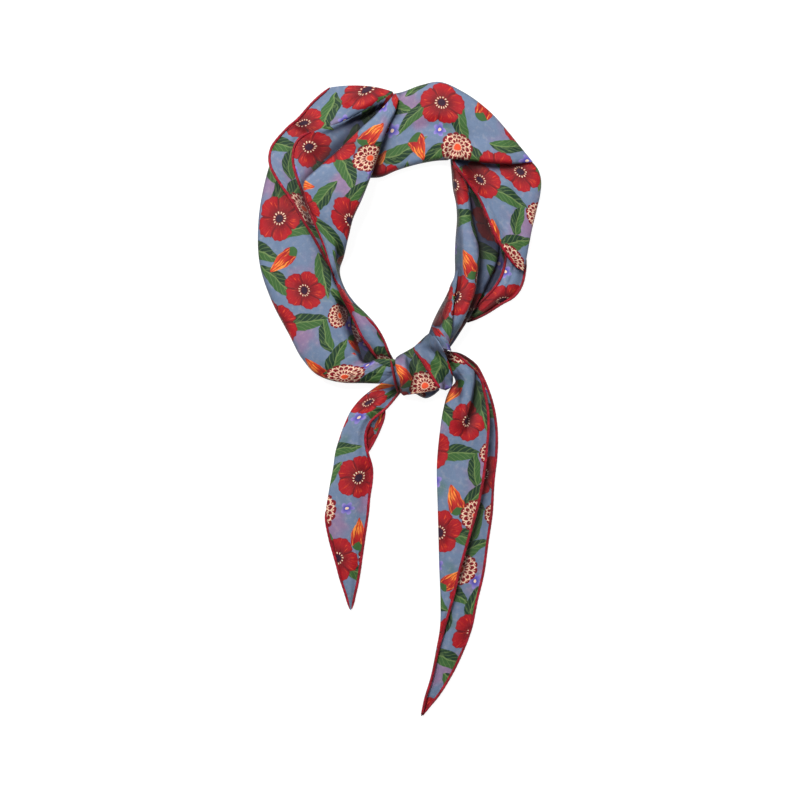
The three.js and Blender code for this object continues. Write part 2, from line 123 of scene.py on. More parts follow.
class ScarfColours(PropertyGroup):
    """Colours of the print, the hem and the table"""

    ground: pigment("Ground", "Dusty blue of the ground", tone(108, 127, 156))
    wash: pigment("Wash", "Mauve wash over the ground", tone(142, 116, 150))
    shade: pigment("Shade", "Green shade over the ground", tone(82, 116, 112))
    red: pigment("Red", "Bright red of the petals", tone(170, 14, 28))
    deep: pigment("Deep red", "Dark red inside the flowers", tone(100, 5, 20))
    orange: pigment("Orange", "Orange of the buds", tone(224, 74, 34))
    cream: pigment("Cream", "Cream of petal edges and stamens", tone(240, 208, 178))
    leaf: pigment("Leaf", "Green of the leaves", tone(58, 97, 48))
    leaf_dark: pigment("Dark leaf", "Shaded half of the leaves", tone(26, 56, 36))
    leaf_light: pigment("Light leaf", "Veins of the leaves", tone(106, 132, 76))
    violet: pigment("Violet", "Small violet flowers", tone(72, 70, 168))
    hem: pigment("Hem", "Crimson of the rolled hem", tone(164, 12, 38))
    table: pigment("Table", "Light table under the scarf", (0.2, 0.2, 0.2))


class ScarfStage(PropertyGroup):
    """Camera and light"""

    camera_height: length("Camera height", "Height of the camera over the table", 1.6)
    camera_x: length("Camera X", "Where the camera stands over the table", 0.0007)
    camera_y: length("Camera Y", "Where the camera stands over the table", -0.0018)
    view_side: length("View side", "Side of the square that the picture shows", 0.52)
    hem_sides: IntProperty(name="Hem sides", description="Faces round a hem", default=14, min=6)


# Strips on the loop, all in thousandths. A row is a section: its left edge's place across the loop and up
# from the knot, the same for its right edge, and its height as a share of the strip's own.
BAND_LEFT = (
    (113, 845, 325, 679, 1000), (53, 741, 350, 603, 1000), (14, 597, 325, 555, 1000),
    (2, 476, 293, 486, 1000), (11, 362, 261, 397, 1000), (49, 252, 268, 314, 1000),
    (113, 131, 325, 224, 1000), (159, 48, 330, 150, 1000), (219, -10, 354, 92, 850),
    (290, -31, 366, 52, 500), (350, -34, 376, 30, 100),
)
RECESS_FLOOR = (
    (245, 365, 272, 360, 50), (250, 320, 284, 310, 50), (260, 240, 330, 225, 50), (290, 150, 395, 140, 50),
    (330, 60, 450, 60, 50), (350, 0, 480, 10, 50),
)
ROLL_LEFT = (
    (219, -10, 340, 70, 100), (290, -31, 372, 35, 600), (378, -34, 424, 47, 1000), (460, -36, 470, 47, 950),
    (520, -34, 520, 40, 850),
)
FOLD_OUTER = (
    (258, 985, 477, 965, 300), (198, 934, 440, 900, 400), (148, 879, 400, 831, 400),
    (92, 824, 350, 751, 350), (49, 769, 310, 689, 300), (49, 707, 283, 624, 250), (88, 641, 279, 576, 200),
    (124, 590, 272, 534, 200), (163, 524, 269, 479, 200), (198, 469, 269, 434, 150),
    (233, 407, 270, 390, 100), (262, 355, 276, 345, 100),
)
FOLD_MIDDLE = (
    (477, 962, 484, 940, 150), (403, 914, 450, 880, 200), (297, 862, 400, 800, 250),
    (212, 834, 345, 740, 250), (145, 797, 290, 685, 250), (127, 745, 250, 645, 250),
    (134, 693, 225, 610, 200), (155, 635, 210, 590, 150), (185, 555, 215, 540, 100),
)
FOLD_FRONT = (
    (486, 958, 496, 940, 100), (466, 936, 486, 900, 500), (442, 910, 470, 868, 900),
    (410, 877, 454, 832, 1150), (350, 821, 435, 779, 1300), (290, 766, 417, 724, 1350),
    (226, 707, 392, 655, 1300), (166, 645, 364, 586, 1150), (172, 593, 339, 534, 1050),
    (200, 524, 322, 472, 950), (237, 438, 304, 403, 850), (262, 362, 288, 350, 750),
    (285, 300, 310, 285, 750), (305, 255, 345, 238, 850), (328, 213, 378, 207, 950),
    (348, 168, 414, 168, 1000), (372, 120, 442, 115, 900), (398, 83, 462, 76, 600), (430, 40, 482, 40, 200),
)
BAND_TOP = (
    (332, 928, 382, 672, 900), (424, 955, 438, 676, 950), (495, 962, 488, 697, 1000),
    (580, 990, 572, 721, 1000), (643, 1000, 632, 731, 1000), (724, 966, 690, 731, 1000),
    (816, 900, 760, 726, 900), (887, 824, 836, 718, 800), (935, 765, 910, 719, 550),
    (968, 725, 950, 724, 150),
)
BAND_TURN = (
    (686, 800, 920, 770, 300), (688, 755, 955, 738, 550), (692, 718, 988, 700, 800),
    (712, 690, 998, 664, 900), (742, 656, 996, 622, 1000), (779, 604, 983, 563, 1000),
    (811, 536, 968, 503, 1000), (843, 464, 955, 440, 900), (881, 405, 945, 389, 750),
    (917, 359, 936, 351, 500),
)
FLAP_UNDER = (
    (721, 186, 735, 174, 300), (765, 222, 806, 207, 600), (797, 252, 859, 240, 750),
    (839, 297, 905, 266, 800), (861, 334, 929, 300, 750), (873, 379, 940, 343, 600),
    (877, 420, 944, 383, 400), (884, 490, 950, 459, 200),
)
FLAP_INNER = (
    (690, 213, 750, 185, 50), (695, 255, 800, 225, 50), (700, 300, 840, 265, 50), (710, 350, 870, 315, 50),
    (715, 410, 890, 370, 50), (715, 480, 900, 440, 50), (705, 600, 900, 560, 50), (695, 680, 880, 650, 50),
)
ROLL_MIDDLE = (
    (690, 730, 760, 690, 100), (700, 640, 795, 600, 150), (715, 550, 830, 520, 250),
    (725, 468, 848, 442, 400), (730, 390, 841, 379, 500), (728, 321, 812, 315, 550),
    (712, 259, 778, 250, 600), (690, 203, 745, 190, 600), (665, 155, 715, 143, 600),
    (640, 114, 686, 100, 600), (612, 80, 655, 62, 600),
)
ROLL_INNER = (
    (680, 741, 710, 721, 550), (684, 693, 721, 686, 800), (689, 634, 739, 634, 950),
    (700, 579, 749, 586, 1000), (703, 531, 754, 534, 1000), (698, 459, 772, 466, 1050),
    (696, 397, 779, 393, 1100), (696, 345, 772, 331, 1100), (686, 286, 765, 279, 1100),
    (664, 231, 742, 221, 1100), (640, 186, 717, 166, 1050), (615, 148, 689, 121, 1000),
    (597, 107, 664, 79, 900),
)
TWIST = (
    (701, 352, 705, 348, 50), (686, 310, 699, 300, 400), (664, 262, 690, 250, 850),
    (638, 215, 685, 196, 1050), (617, 172, 683, 152, 1100), (606, 141, 675, 114, 1000),
    (594, 107, 664, 83, 800),
)
KNOT_INSIDE = (
    (611, 158, 635, 150, 400), (622, 136, 654, 126, 700), (638, 110, 672, 99, 800), (652, 84, 681, 76, 500),
)
KNOT_LEFT = (
    (502, 62, 570, 100, 450), (489, 52, 580, 83, 750), (486, 34, 592, 59, 950), (489, 14, 608, 31, 1000),
    (493, -9, 628, 3, 1000), (498, -31, 645, -24, 1000), (502, -53, 642, -47, 950),
    (505, -68, 628, -58, 750), (515, -77, 600, -64, 350),
)
KNOT_BELLY = (
    (544, -55, 544, -67, 300), (562, -50, 562, -73, 600), (576, -45, 576, -81, 850),
    (591, -43, 591, -86, 1000), (611, -42, 611, -80, 950), (629, -41, 629, -68, 750),
    (640, -42, 640, -58, 400),
)
KNOT_RIGHT = (
    (592, 126, 608, 138, 350), (574, 110, 620, 124, 650), (553, 90, 638, 103, 900),
    (562, 69, 652, 79, 1000), (578, 48, 664, 52, 1050), (592, 24, 678, 22, 1100), (610, -2, 686, -7, 1100),
    (625, -26, 686, -36, 950), (637, -44, 677, -51, 700), (645, -55, 661, -59, 350),
)

# Strips of the tails, in thousandths: how far along the tail, how far to the side, width and height
SHORT_FRONT = (
    (-4, -68, 397, 300), (30, -100, 518, 450), (63, -142, 606, 550), (101, -182, 709, 600),
    (148, -223, 716, 650), (207, -272, 529, 650), (283, -296, 568, 600), (331, -299, 681, 600),
    (397, -294, 833, 600), (464, -301, 892, 600), (511, -309, 892, 600), (591, -318, 908, 600),
    (688, -318, 760, 550), (789, -311, 540, 500), (874, -306, 353, 400), (945, -302, 150, 300),
    (983, -301, 55, 200), (999, -301, 10, 150),
)
SHORT_BACK = (
    (114, -148, 220, 200), (163, -191, 297, 300), (190, -201, 368, 300), (235, -222, 416, 300),
    (291, -237, 344, 250), (333, -247, 242, 200), (376, -250, 165, 100),
)
LONG_FRONT = (
    (-63, 66, 117, 500), (-47, 81, 290, 700), (-20, 101, 400, 980), (0, 121, 425, 980), (15, 132, 420, 980),
    (26, 136, 440, 980), (41, 131, 520, 980), (64, 128, 620, 980), (105, 126, 725, 930),
    (166, 122, 790, 880), (216, 117, 797, 650), (262, 113, 790, 650), (379, 104, 666, 600),
    (472, 92, 500, 550), (574, 79, 320, 500), (662, 70, 180, 400), (740, 58, 60, 300), (807, 43, 20, 250),
    (886, 26, 12, 200), (953, 6, 10, 150), (993, -2, 10, 100),
)
LONG_BACK = (
    (-61, 70, 100, 200), (-55, 87, 200, 300), (-42, 109, 240, 300), (-16, 133, 317, 300),
    (0, 140, 332, 300), (29, 151, 361, 300), (96, 161, 504, 250), (160, 163, 594, 250),
    (239, 160, 624, 250), (309, 153, 614, 250), (414, 144, 644, 250), (487, 134, 634, 250),
    (586, 123, 604, 250), (662, 110, 544, 300), (749, 98, 470, 300), (810, 81, 400, 300),
    (883, 54, 300, 200), (942, 26, 190, 200), (982, 4, 65, 150), (999, -2, 12, 100),
)

# Lines on the loop, in thousandths of its width and of its height over the knot
RIDGE_LINE = (
    (150, 795), (191, 822), (254, 848), (325, 880), (413, 920), (480, 958),
)
POCKET_LINE = (
    (490, 955), (440, 915), (385, 870), (320, 815), (250, 755), (190, 705), (155, 660),
)
TUCK_LINE = (
    (300, 852), (350, 872), (400, 897), (445, 924), (482, 950),
)
LEFT_DIP = (
    (60, 700), (85, 620), (95, 520), (90, 420), (115, 330), (150, 240),
)
TOP_DIP = (
    (500, 840), (570, 850), (650, 845), (730, 800), (800, 745),
)
RECESS_LINE = (
    (285, 300), (303, 235), (322, 180), (345, 125), (372, 80), (400, 45),
)
ROLL_CREASE = (
    (385, 45), (340, 30), (300, 10), (270, -25),
)
LONG_VALLEY = (
    (790, 60), (785, 10), (782, -41), (774, -93), (762, -145), (752, -230),
)
LONG_TUCK = (
    (676, -26), (698, -34), (710, -70), (706, -120),
)
LONG_RIDGE = (
    (731, -215), (733, -155), (744, -110), (758, -34), (761, 3), (739, 38), (707, 60), (671, 72),
)
KNOT_HEM = (
    (468, 48), (474, 21), (480, -7), (486, -34), (491, -55), (496, -71),
)
LENS_HEM = (
    (378, 196), (398, 178), (419, 155), (436, 128), (450, 98), (460, 72), (476, 40),
)
SLIVER_HEM = (
    (700, 334), (688, 310), (678, 286), (673, 266),
)
SHORT_BACK_HEM = (
    (450, -118), (444, -155), (430, -193), (408, -238), (380, -285),
)

# How an edge of a strip ends
FOLD = "folded back under"
HANG = "hanging down"
CUT = "cut and hemmed"
LEFT, RIGHT = 0, 1

# The kinds of soft fold in a strip
STEP = "stands up along its line and slopes away on its left"
CREASE = "soft ridge or groove along its line"
STEP_FACE = 0.0012         # how far the steep face of a step reaches
FOLD_LINE_STEP = 0.0015    # distance between two points of a fold's line

UNDER_SHARE = 0.4          # how far a fold reaches back under the strip
ROUND_SHARE = 0.32         # the most of the width that a fold's rounding takes
UNDER_POINTS = 6
ROUND_POINTS = 13
TOP_POINTS = 60
GAP = 0.0002               # air between two layers that touch
SMOOTH_ANGLE = math.radians(50)
HIDDEN_START = 4           # how many stations of an edge lie hidden before its hem starts
HEM_JOIN = 0.002           # the gap that the front hem bridges where its two edges meet
KNOT_HEM_DIP = 0.004       # how far the start of the knot's hem dips into the knot
KNOT_HEM_RISE = 0.005      # how far along it the hem is up again

KEY_LIGHT = ("key_light", (-0.45, 0.95, 1.35), 0.50, 31.0)      # name, place, size in metres, watts
FILL_LIGHT = ("fill_light", (1.0, 0.3, 1.4), 1.2, 6.0)
WORLD_STRENGTH = 0.15
TABLE_SIDE = 6.0
TABLE_TOP = -0.0004
TABLE_GLOW = 0.92
WHITE = (1.0, 1.0, 1.0, 1.0)
SENSOR_WIDTH = 36.0


def sizes():
    return bpy.context.scene.scarf_sizes


def colours():
    return bpy.context.scene.scarf_colours


def on_loop(points):
    """Points given in thousandths of the loop, in the frame"""
    size = sizes()
    return (np.array(points) / 1000 - (KNOT_ACROSS, 0)) * (size.loop_width, size.loop_height) + KNOT_AT


def loop_edges(rows):
    """The left and right edge of each row in the frame, and its height's share"""
    table = np.array(rows)
    return np.concatenate([on_loop(table[:, 0:2]), on_loop(table[:, 2:4]), table[:, 4:5] / 1000], axis=1)


def tail_edges(rows, length, width):
    """The same for a tail, whose rows give its middle line and its width"""
    table = np.array(rows) / 1000
    middle = np.stack([table[:, 1] * length, -table[:, 0] * length], axis=1) + KNOT_AT
    half = np.stack([table[:, 2] * width / 2, np.zeros(len(table))], axis=1)
    return np.concatenate([middle - half, middle + half, table[:, 3:4]], axis=1)


def path_of(points):
    """How far along its line each point lies"""
    return np.concatenate([[0.0], np.cumsum(np.linalg.norm(np.diff(points, axis=0), axis=1))])


def curve_through(rows, place, step):
    """Rows resampled at an even step on one smooth curve, where each row has its place along it"""
    slope = np.gradient(rows, place, axis=0)
    count = max(int(place[-1] / step), 8)
    wanted = np.linspace(0, place[-1], count + 1)
    index = np.clip(np.searchsorted(place, wanted, side="right") - 1, 0, len(place) - 2)
    gap = (place[index + 1] - place[index])[:, None]
    share = (wanted - place[index])[:, None] / gap
    return (
        rows[index] * (2 * share**3 - 3 * share**2 + 1)
        + slope[index] * gap * (share**3 - 2 * share**2 + share)
        + rows[index + 1] * (3 * share**2 - 2 * share**3)
        + slope[index + 1] * gap * (share**3 - share**2)
    )


def smooth_rows(rows, step):
    """A strip's rows resampled along its middle line"""
    middle = (rows[:, 0:2] + rows[:, 2:4]) / 2
    spacing = np.linalg.norm(np.diff(middle, axis=0), axis=1)
    return curve_through(rows, np.concatenate([[0.0], np.cumsum(np.maximum(spacing, 1e-5))]), step)


def smooth_line(points, step=0.001):
    """A line given in thousandths of the loop, as even points of the frame"""
    spots = on_loop(points)
    return curve_through(spots, path_of(spots), step)


def ease(value):
    """Smooth step from 0 to 1"""
    share = np.clip(value, 0, 1)
    return share * share * (3 - 2 * share)


class Relief:
    """Heights of all the cloth laid so far, on a square grid over the table"""

    CELL = 0.001
    MARGIN = 0.02
    SKY_SIDES = 16
    SKY_REACHES = (2, 3, 4, 5, 7, 9, 12, 16)    # in cells
    BOTH_SIDES = 0.5           # how much more a hollow closed on two opposite sides counts

    def __init__(self):
        low, high = CAD_BOX
        self.origin = np.array([low[0] - self.MARGIN, low[1] - self.MARGIN])
        extent = np.array([high[0] + self.MARGIN, high[1] + self.MARGIN]) - self.origin
        self.height = np.zeros(tuple((extent / self.CELL).astype(int) + 2))

    def cells(self, points):
        spots = ((points[..., :2] - self.origin) / self.CELL).astype(int)
        return np.clip(spots, 0, np.array(self.height.shape) - 1)

    def lay(self, points):
        spots = self.cells(points).reshape(-1, 2)
        np.maximum.at(self.height, (spots[:, 0], spots[:, 1]), points[..., 2].reshape(-1))

    def widened(self, values, choose):
        """The highest or lowest value among each cell and its neighbours"""
        for axis in (0, 1):
            values = choose([np.roll(values, shift, axis) for shift in (-1, 0, 1)], axis=0)
        return values

    def under(self, points):
        """The highest cloth in the cells round each point"""
        spots = self.cells(points)
        return self.widened(self.height, np.max)[spots[..., 0], spots[..., 1]]

    def hollows(self):
        """How much of the sky the cloth round each cell hides, from 0 in the open to 1 in a deep fold"""
        filled = self.widened(self.widened(self.height, np.max), np.min)
        hidden = []
        for turn in np.linspace(0, 2 * math.pi, self.SKY_SIDES, endpoint=False):
            slope = np.zeros(filled.shape)
            for reach in self.SKY_REACHES:
                shift = (-round(reach * math.cos(turn)), -round(reach * math.sin(turn)))
                seen = np.roll(filled, shift, (0, 1)) - filled
                slope = np.maximum(slope, seen / (reach * self.CELL))
            hidden.append(1 - 1 / (1 + slope**2))
        hidden = np.array(hidden)
        both_sides = np.minimum(hidden, np.roll(hidden, self.SKY_SIDES // 2, axis=0))
        shade = (hidden + self.BOTH_SIDES * both_sides).mean(axis=0)
        for axis in (0, 1):
            shade = (np.roll(shade, 1, axis) + 2 * shade + np.roll(shade, -1, axis)) / 4
        return shade

    def sample(self, values, points):
        """Values of the grid's cells, blended at each point"""
        spots = (points[:, :2] - self.origin) / self.CELL - 0.5
        low = np.clip(spots.astype(int), 0, np.array(values.shape) - 2)
        share = np.clip(spots - low, 0, 1)
        rows = [values[low[:, 0], low[:, 1] + up] * (1 - share[:, 0])
                + values[low[:, 0] + 1, low[:, 1] + up] * share[:, 0] for up in (0, 1)]
        return rows[0] * (1 - share[:, 1]) + rows[1] * share[:, 1]


RELIEF = Relief()
LAID = {}                  # strips that a later strip takes its print from


def rounded(angles):
    """The rounded part of a section's half"""
    return [(0.0, 1 - math.cos(angle), 0.5 + 0.5 * math.sin(angle)) for angle in angles]


def section_half(kind):
    """Half a section from its free end up: across as (share of width, share of rounding), and its rise"""
    if kind == CUT:
        return []
    turn = np.linspace(-math.pi / 2, math.pi / 2, ROUND_POINTS)
    if kind == HANG:
        drop = [(0.0, 0.0, rise) for rise in np.linspace(0, 0.5, UNDER_POINTS, endpoint=False)]
        upper = [angle for angle in turn if angle >= 0]
        return drop + rounded(upper)
    back = [(share, 1 - share / UNDER_SHARE, 0.0)
            for share in np.linspace(UNDER_SHARE, 0, UNDER_POINTS, endpoint=False)]
    return back + rounded(turn)


def relaxed(heights, floor, rounds):
    """Heights smoothed like a light cloth that rests on a floor"""
    for _ in range(rounds):
        padded = np.pad(heights, 1, mode="edge")
        around = (padded[:-2, 1:-1] + padded[2:, 1:-1] + padded[1:-1, :-2] + padded[1:-1, 2:]) / 4
        heights = np.maximum(0.4 * heights + 0.6 * around, floor)
    return heights


def ripple(points, scale, seed):
    """A slow noise at each point"""
    flat = points.reshape(-1, points.shape[-1]) / scale
    values = [noise.noise(Vector((spot[0], spot[1], seed))) for spot in flat]
    return np.array(values).reshape(points.shape[:-1])


def fold_height(points, folds):
    """What the soft folds of a strip add to its height

    A fold is its kind, height, reach, the shares of its line over which it fades in and out, and its line.
    """
    total = np.zeros(points.shape[:-1])
    for kind, height, reach, fade_in, fade_out, path in folds:
        line = smooth_line(path, FOLD_LINE_STEP)
        along = np.diff(line, axis=0)
        length = np.linalg.norm(along, axis=1)
        offset = points[..., None, :] - line[:-1]
        share = np.clip(np.einsum("...k,...k->...", offset, along) / length**2, 0, 1)
        distance = np.linalg.norm(offset - share[..., None] * along, axis=-1)
        cross = along[:, 0] * offset[..., 1] - along[:, 1] * offset[..., 0]
        nearest = distance.argmin(axis=-1)[..., None]
        distance, share, cross = (
            np.take_along_axis(values, nearest, axis=-1)[..., 0] for values in (distance, share, cross))
        progress = (nearest[..., 0] + share) / len(length)
        fade = ease(progress / fade_in) * ease((1 - progress) / fade_out)
        slope = np.exp(-((distance / reach) ** 2))
        if kind == STEP:
            slope = np.where(cross > 0, slope, 1 - ease(distance / STEP_FACE))
        total += height * fade * slope
    return total


def skin_mesh(name, surface, cloth_uv, thickness):
    """A closed sheet: a grid of points given its thickness, with a cloth position at each point"""
    along = np.gradient(surface, axis=0)
    across = np.gradient(surface, axis=1)
    normal = np.cross(across, along)
    normal /= np.maximum(np.linalg.norm(normal, axis=-1, keepdims=True), 1e-12)
    outer = surface + normal * thickness / 2
    inner = surface - normal * thickness / 2
    rings = np.concatenate([outer, inner[:, ::-1]], axis=1)
    ring_uv = np.concatenate([cloth_uv, cloth_uv[:, ::-1]], axis=1)
    return ring_mesh(name, rings, ring_uv, ladder=True)


def ring_mesh(name, rings, ring_uv, ladder):
    """A closed body from rings of points, ended by a ladder of quads or by one flat face"""
    count, size = rings.shape[:2]
    here = np.arange(count - 1)[:, None] * size
    step = np.arange(size)[None, :]
    following = (step + 1) % size
    faces = np.stack([here + step, here + following, here + size + following, here + size + step], axis=-1)
    faces = faces.reshape(-1, 4).tolist()
    last = (count - 1) * size
    if ladder:
        for rung in range(size // 2 - 1):
            mate = size - 1 - rung
            faces.append([rung + 1, rung, mate, mate - 1])
            faces.append([last + rung, last + rung + 1, last + mate - 1, last + mate])
    else:
        faces.append(list(range(size))[::-1])
        faces.append([last + corner for corner in range(size)])
    mesh = bpy.data.meshes.new(name)
    mesh.from_pydata(rings.reshape(-1, 3).tolist(), [], faces)
    corners = np.zeros(len(mesh.loops), dtype=np.int32)
    mesh.loops.foreach_get("vertex_index", corners)
    layer = mesh.uv_layers.new(name="cloth")
    layer.data.foreach_set("uv", ring_uv.reshape(-1, 2)[corners].astype(np.float32).reshape(-1))
    piece = bpy.data.objects.new(name, mesh)
    bpy.context.scene.collection.objects.link(piece)
    face_outwards(piece)
    return piece


def spots_of(mesh):
    """The places of a mesh's points"""
    spots = np.zeros(len(mesh.vertices) * 3)
    mesh.vertices.foreach_get("co", spots)
    return spots.reshape(-1, 3)


def face_outwards(piece):
    """Turns a closed mesh right side out if its volume is negative, and shades it smooth"""
    mesh = piece.data
    mesh.calc_loop_triangles()
    corners = np.zeros(len(mesh.loop_triangles) * 3, dtype=np.int32)
    mesh.loop_triangles.foreach_get("vertices", corners)
    a, b, c = spots_of(mesh)[corners.reshape(-1, 3)].transpose(1, 0, 2)
    if np.einsum("ij,ij->i", a, np.cross(b, c)).sum() < 0:
        mesh.flip_normals()
    bpy.ops.object.select_all(action="DESELECT")
    piece.select_set(True)
    bpy.context.view_layer.objects.active = piece
    bpy.ops.object.shade_smooth_by_angle(angle=SMOOTH_ANGLE)


class Strip:
    """One folded strip of cloth laid on what lies under it"""

    END_ROUND = 0.005          # how far a strip's end is rounded down
    END_LOW = 0.15             # the share of its height that it keeps at its very end
    BOW_FADE = 0.015           # how far a bowed end reaches along the strip
    LEVEL_FADE = 0.02          # how far a levelled stretch takes to end
    CROWN = 0.18               # how much lower its edges are than its middle
    CUT_LIFT = 0.45            # where a cut edge lies in its hem, as a share of the hem
    WIDE = 0.02                # the width from which a lifted edge has its full lift
    SLACK = 0.25               # the share of its height that smoothing leaves at least
    FULL_WAVE = 0.004          # the height from which the waves are full
    LONG_WAVE = 0.0012         # how high the slow waves are, and the shorter ones on them
    SHORT_WAVE = 0.0005
    LONG_SCALE = (0.045, 0.012)                 # how long they are along the strip and across it
    SHORT_SCALE = (0.018, 0.006)
    RIM_SHARE = 0.3            # how far in from a cut edge the cloth rises, as a share of the width
    RIM_REACH = 0.002          # and in metres
    OUTSIDE = 0.3              # how far a hem lies outside an edge and over it, in radii
    NEAR_POINTS = 30           # the points beside a folded edge whose heights its hem follows

    def __init__(self, name, rows, rise, print_turn, print_shift, seed, kinds=(FOLD, FOLD), tail=None,
                 folds=(), lifts=(0.0, 0.0), bow=0.0, calm=24, round_most=(0.006, 0.006), round_rate=0.9,
                 follow=None, taut=False, level=None):
        size = sizes()
        self.kinds = kinds
        rows = smooth_rows(tail_edges(rows, *tail) if tail else loop_edges(rows), size.step)
        self.left = rows[:, 0:2]
        self.right = rows[:, 2:4]
        self.width = np.linalg.norm(self.right - self.left, axis=1)
        self.middle = (self.left + self.right) / 2
        self.path = path_of(self.middle)
        from_end = np.minimum(self.path, self.path[-1] - self.path)
        quarter = np.sqrt(1 - (1 - np.clip(from_end / self.END_ROUND, 0, 1)) ** 2)
        rounded_end = self.END_LOW + (1 - self.END_LOW) * quarter
        rise = rows[:, 4] * rise * rounded_end
        half = {side: np.array(section_half(kinds[side])).reshape(-1, 3) for side in (LEFT, RIGHT)}
        widest = ROUND_SHARE * self.width
        rounding = {side: np.minimum(np.minimum(rise * round_rate, round_most[side]), widest)
                    * (kinds[side] != CUT) for side in (LEFT, RIGHT)}
        parts = {side: self.width[:, None] * half[side][:, 0] + rounding[side][:, None] * half[side][:, 1]
                 for side in (LEFT, RIGHT)}
        share = np.linspace(0, 1, TOP_POINTS)[kinds[LEFT] != CUT:TOP_POINTS - (kinds[RIGHT] != CUT)]
        span = self.width - rounding[LEFT] - rounding[RIGHT]
        top = rounding[LEFT][:, None] + span[:, None] * share
        self.across = np.concatenate(
            [parts[LEFT], top, self.width[:, None] - parts[RIGHT][:, ::-1]], axis=1)
        curl = np.concatenate([half[LEFT][:, 2], np.ones(len(share)), half[RIGHT][::-1, 2]])
        direction = (self.right - self.left) / self.width[:, None]
        plan = self.left[:, None, :] + direction[:, None, :] * self.across[:, :, None]
        place = np.clip(self.across / self.width[:, None], 0, 1)
        along = self.middle[0] - self.middle[4]
        along /= np.linalg.norm(along)
        arch = (1 - (2 * place - 1) ** 2) * (1 - ease(self.path / self.BOW_FADE))[:, None]
        plan = plan + bow * arch[:, :, None] * along
        low = RELIEF.under(plan) + size.cloth / 2 + GAP
        from_left = np.maximum.accumulate(low, axis=1)
        from_right = np.maximum.accumulate(low[:, ::-1], axis=1)[:, ::-1]
        if taut:
            low = np.minimum(from_left, from_right)
        if level:
            low = low + (from_left - low) * (1 - ease((self.path - level) / self.LEVEL_FADE))[:, None]
        height = rise[:, None] * (1 - self.CROWN * (2 * place - 1) ** 2)
        for side, distance in ((LEFT, self.across), (RIGHT, self.width[:, None] - self.across)):
            if kinds[side] == CUT:
                lift = lifts[side] * rounded_end * ease(self.width / self.WIDE)
                rim = size.hem * self.CUT_LIFT + lift[:, None]
                inner = self.RIM_SHARE * self.width[:, None] + self.RIM_REACH
                height = rim + (height - rim) * ease(distance / inner)
        upper = relaxed(low + height, low + self.SLACK * height, calm)
        upper = upper + self.waves(seed) * np.minimum(height / self.FULL_WAVE, 1) + fold_height(plan, folds)
        upper = np.maximum(upper, low + GAP)
        self.surface = np.concatenate([plan, (low + curl * (upper - low))[:, :, None]], axis=2)
        start = 0.0
        if follow:
            start = follow.path[np.linalg.norm(follow.middle - self.middle[0], axis=1).argmin()]
        self.make(name, print_turn, print_shift, start)

    def waves(self, seed):
        """Slow waves of the cloth, longer along the strip than across it"""
        spot = np.stack([np.broadcast_to(self.path[:, None], self.across.shape),
                         self.across - self.width[:, None] / 2], axis=2)
        long = ripple(spot, np.array(self.LONG_SCALE), seed)
        short = ripple(spot, np.array(self.SHORT_SCALE), seed + 50)
        return self.LONG_WAVE * long + self.SHORT_WAVE * short

    def make(self, name, print_turn, print_shift, start):
        """The strip's mesh, with its print turned and shifted on the cloth"""
        steps = np.linalg.norm(np.diff(self.surface, axis=1), axis=2)
        round_it = np.concatenate([np.zeros((len(steps), 1)), np.cumsum(steps, axis=1)], axis=1)
        self.flat = (float(round_it[:, -1].mean()), float(self.path[-1]))
        centre = round_it[:, round_it.shape[1] // 2][:, None]
        cloth_x = round_it - centre
        cloth_y = np.broadcast_to(self.path[:, None] + start, cloth_x.shape)
        turn = np.array([[math.cos(print_turn), -math.sin(print_turn)],
                         [math.sin(print_turn), math.cos(print_turn)]])
        cloth_uv = np.stack([cloth_x, cloth_y], axis=2) @ turn + np.array(print_shift)
        self.piece = skin_mesh("cloth_" + name, self.surface, cloth_uv, sizes().cloth)
        self.piece.data.materials.append(bpy.data.materials["Printed silk"])
        RELIEF.lay(self.surface + np.array([0, 0, sizes().cloth / 2]))

    def edge(self, side):
        """The line that a hem follows along one edge, just outside it and at the height of the cloth there"""
        radius = sizes().hem / 2
        line = (self.left if side == LEFT else self.right).copy()
        other = self.right if side == LEFT else self.left
        along = np.gradient(line, axis=0)
        outward = np.stack([-along[:, 1], along[:, 0]], axis=1)
        outward /= np.maximum(np.linalg.norm(outward, axis=1, keepdims=True), 1e-9)
        flip = np.sign(np.einsum("ij,ij->i", outward, line - other))
        line = line + outward * flip[:, None] * radius * self.OUTSIDE
        heights = self.surface[:, :, 2] if side == LEFT else self.surface[:, ::-1, 2]
        if self.kinds[side] == CUT:
            height = heights[:, 0] + radius * self.OUTSIDE
        else:
            near = heights[:, :self.NEAR_POINTS]
            height = near.max(axis=1) * 0.7 + near.min(axis=1) * 0.3
        return np.concatenate([line, height[:, None]], axis=1)


def resting_line(points, sink=0.0):
    """The line of a hem that lies over the loop's cloth or sinks into its edge"""
    line = smooth_line(points)
    height = RELIEF.under(line) + sizes().hem * 0.3 - sink
    return np.concatenate([line, height[:, None]], axis=1)


HEM_STEP = 0.0007          # distance between two rings of a hem
HEM_CALM = 6               # rounds of smoothing
HEM_END = 0.45             # the share of its radius that a hem keeps at its ends
STITCH = 0.0031
BEAD = 0.05                # how much a stitch swells the hem, as a share of its radius
UNEVEN = 0.08              # the same for its slow unevenness
UNEVEN_LENGTH = 0.006
HEM_SEED = 3.0


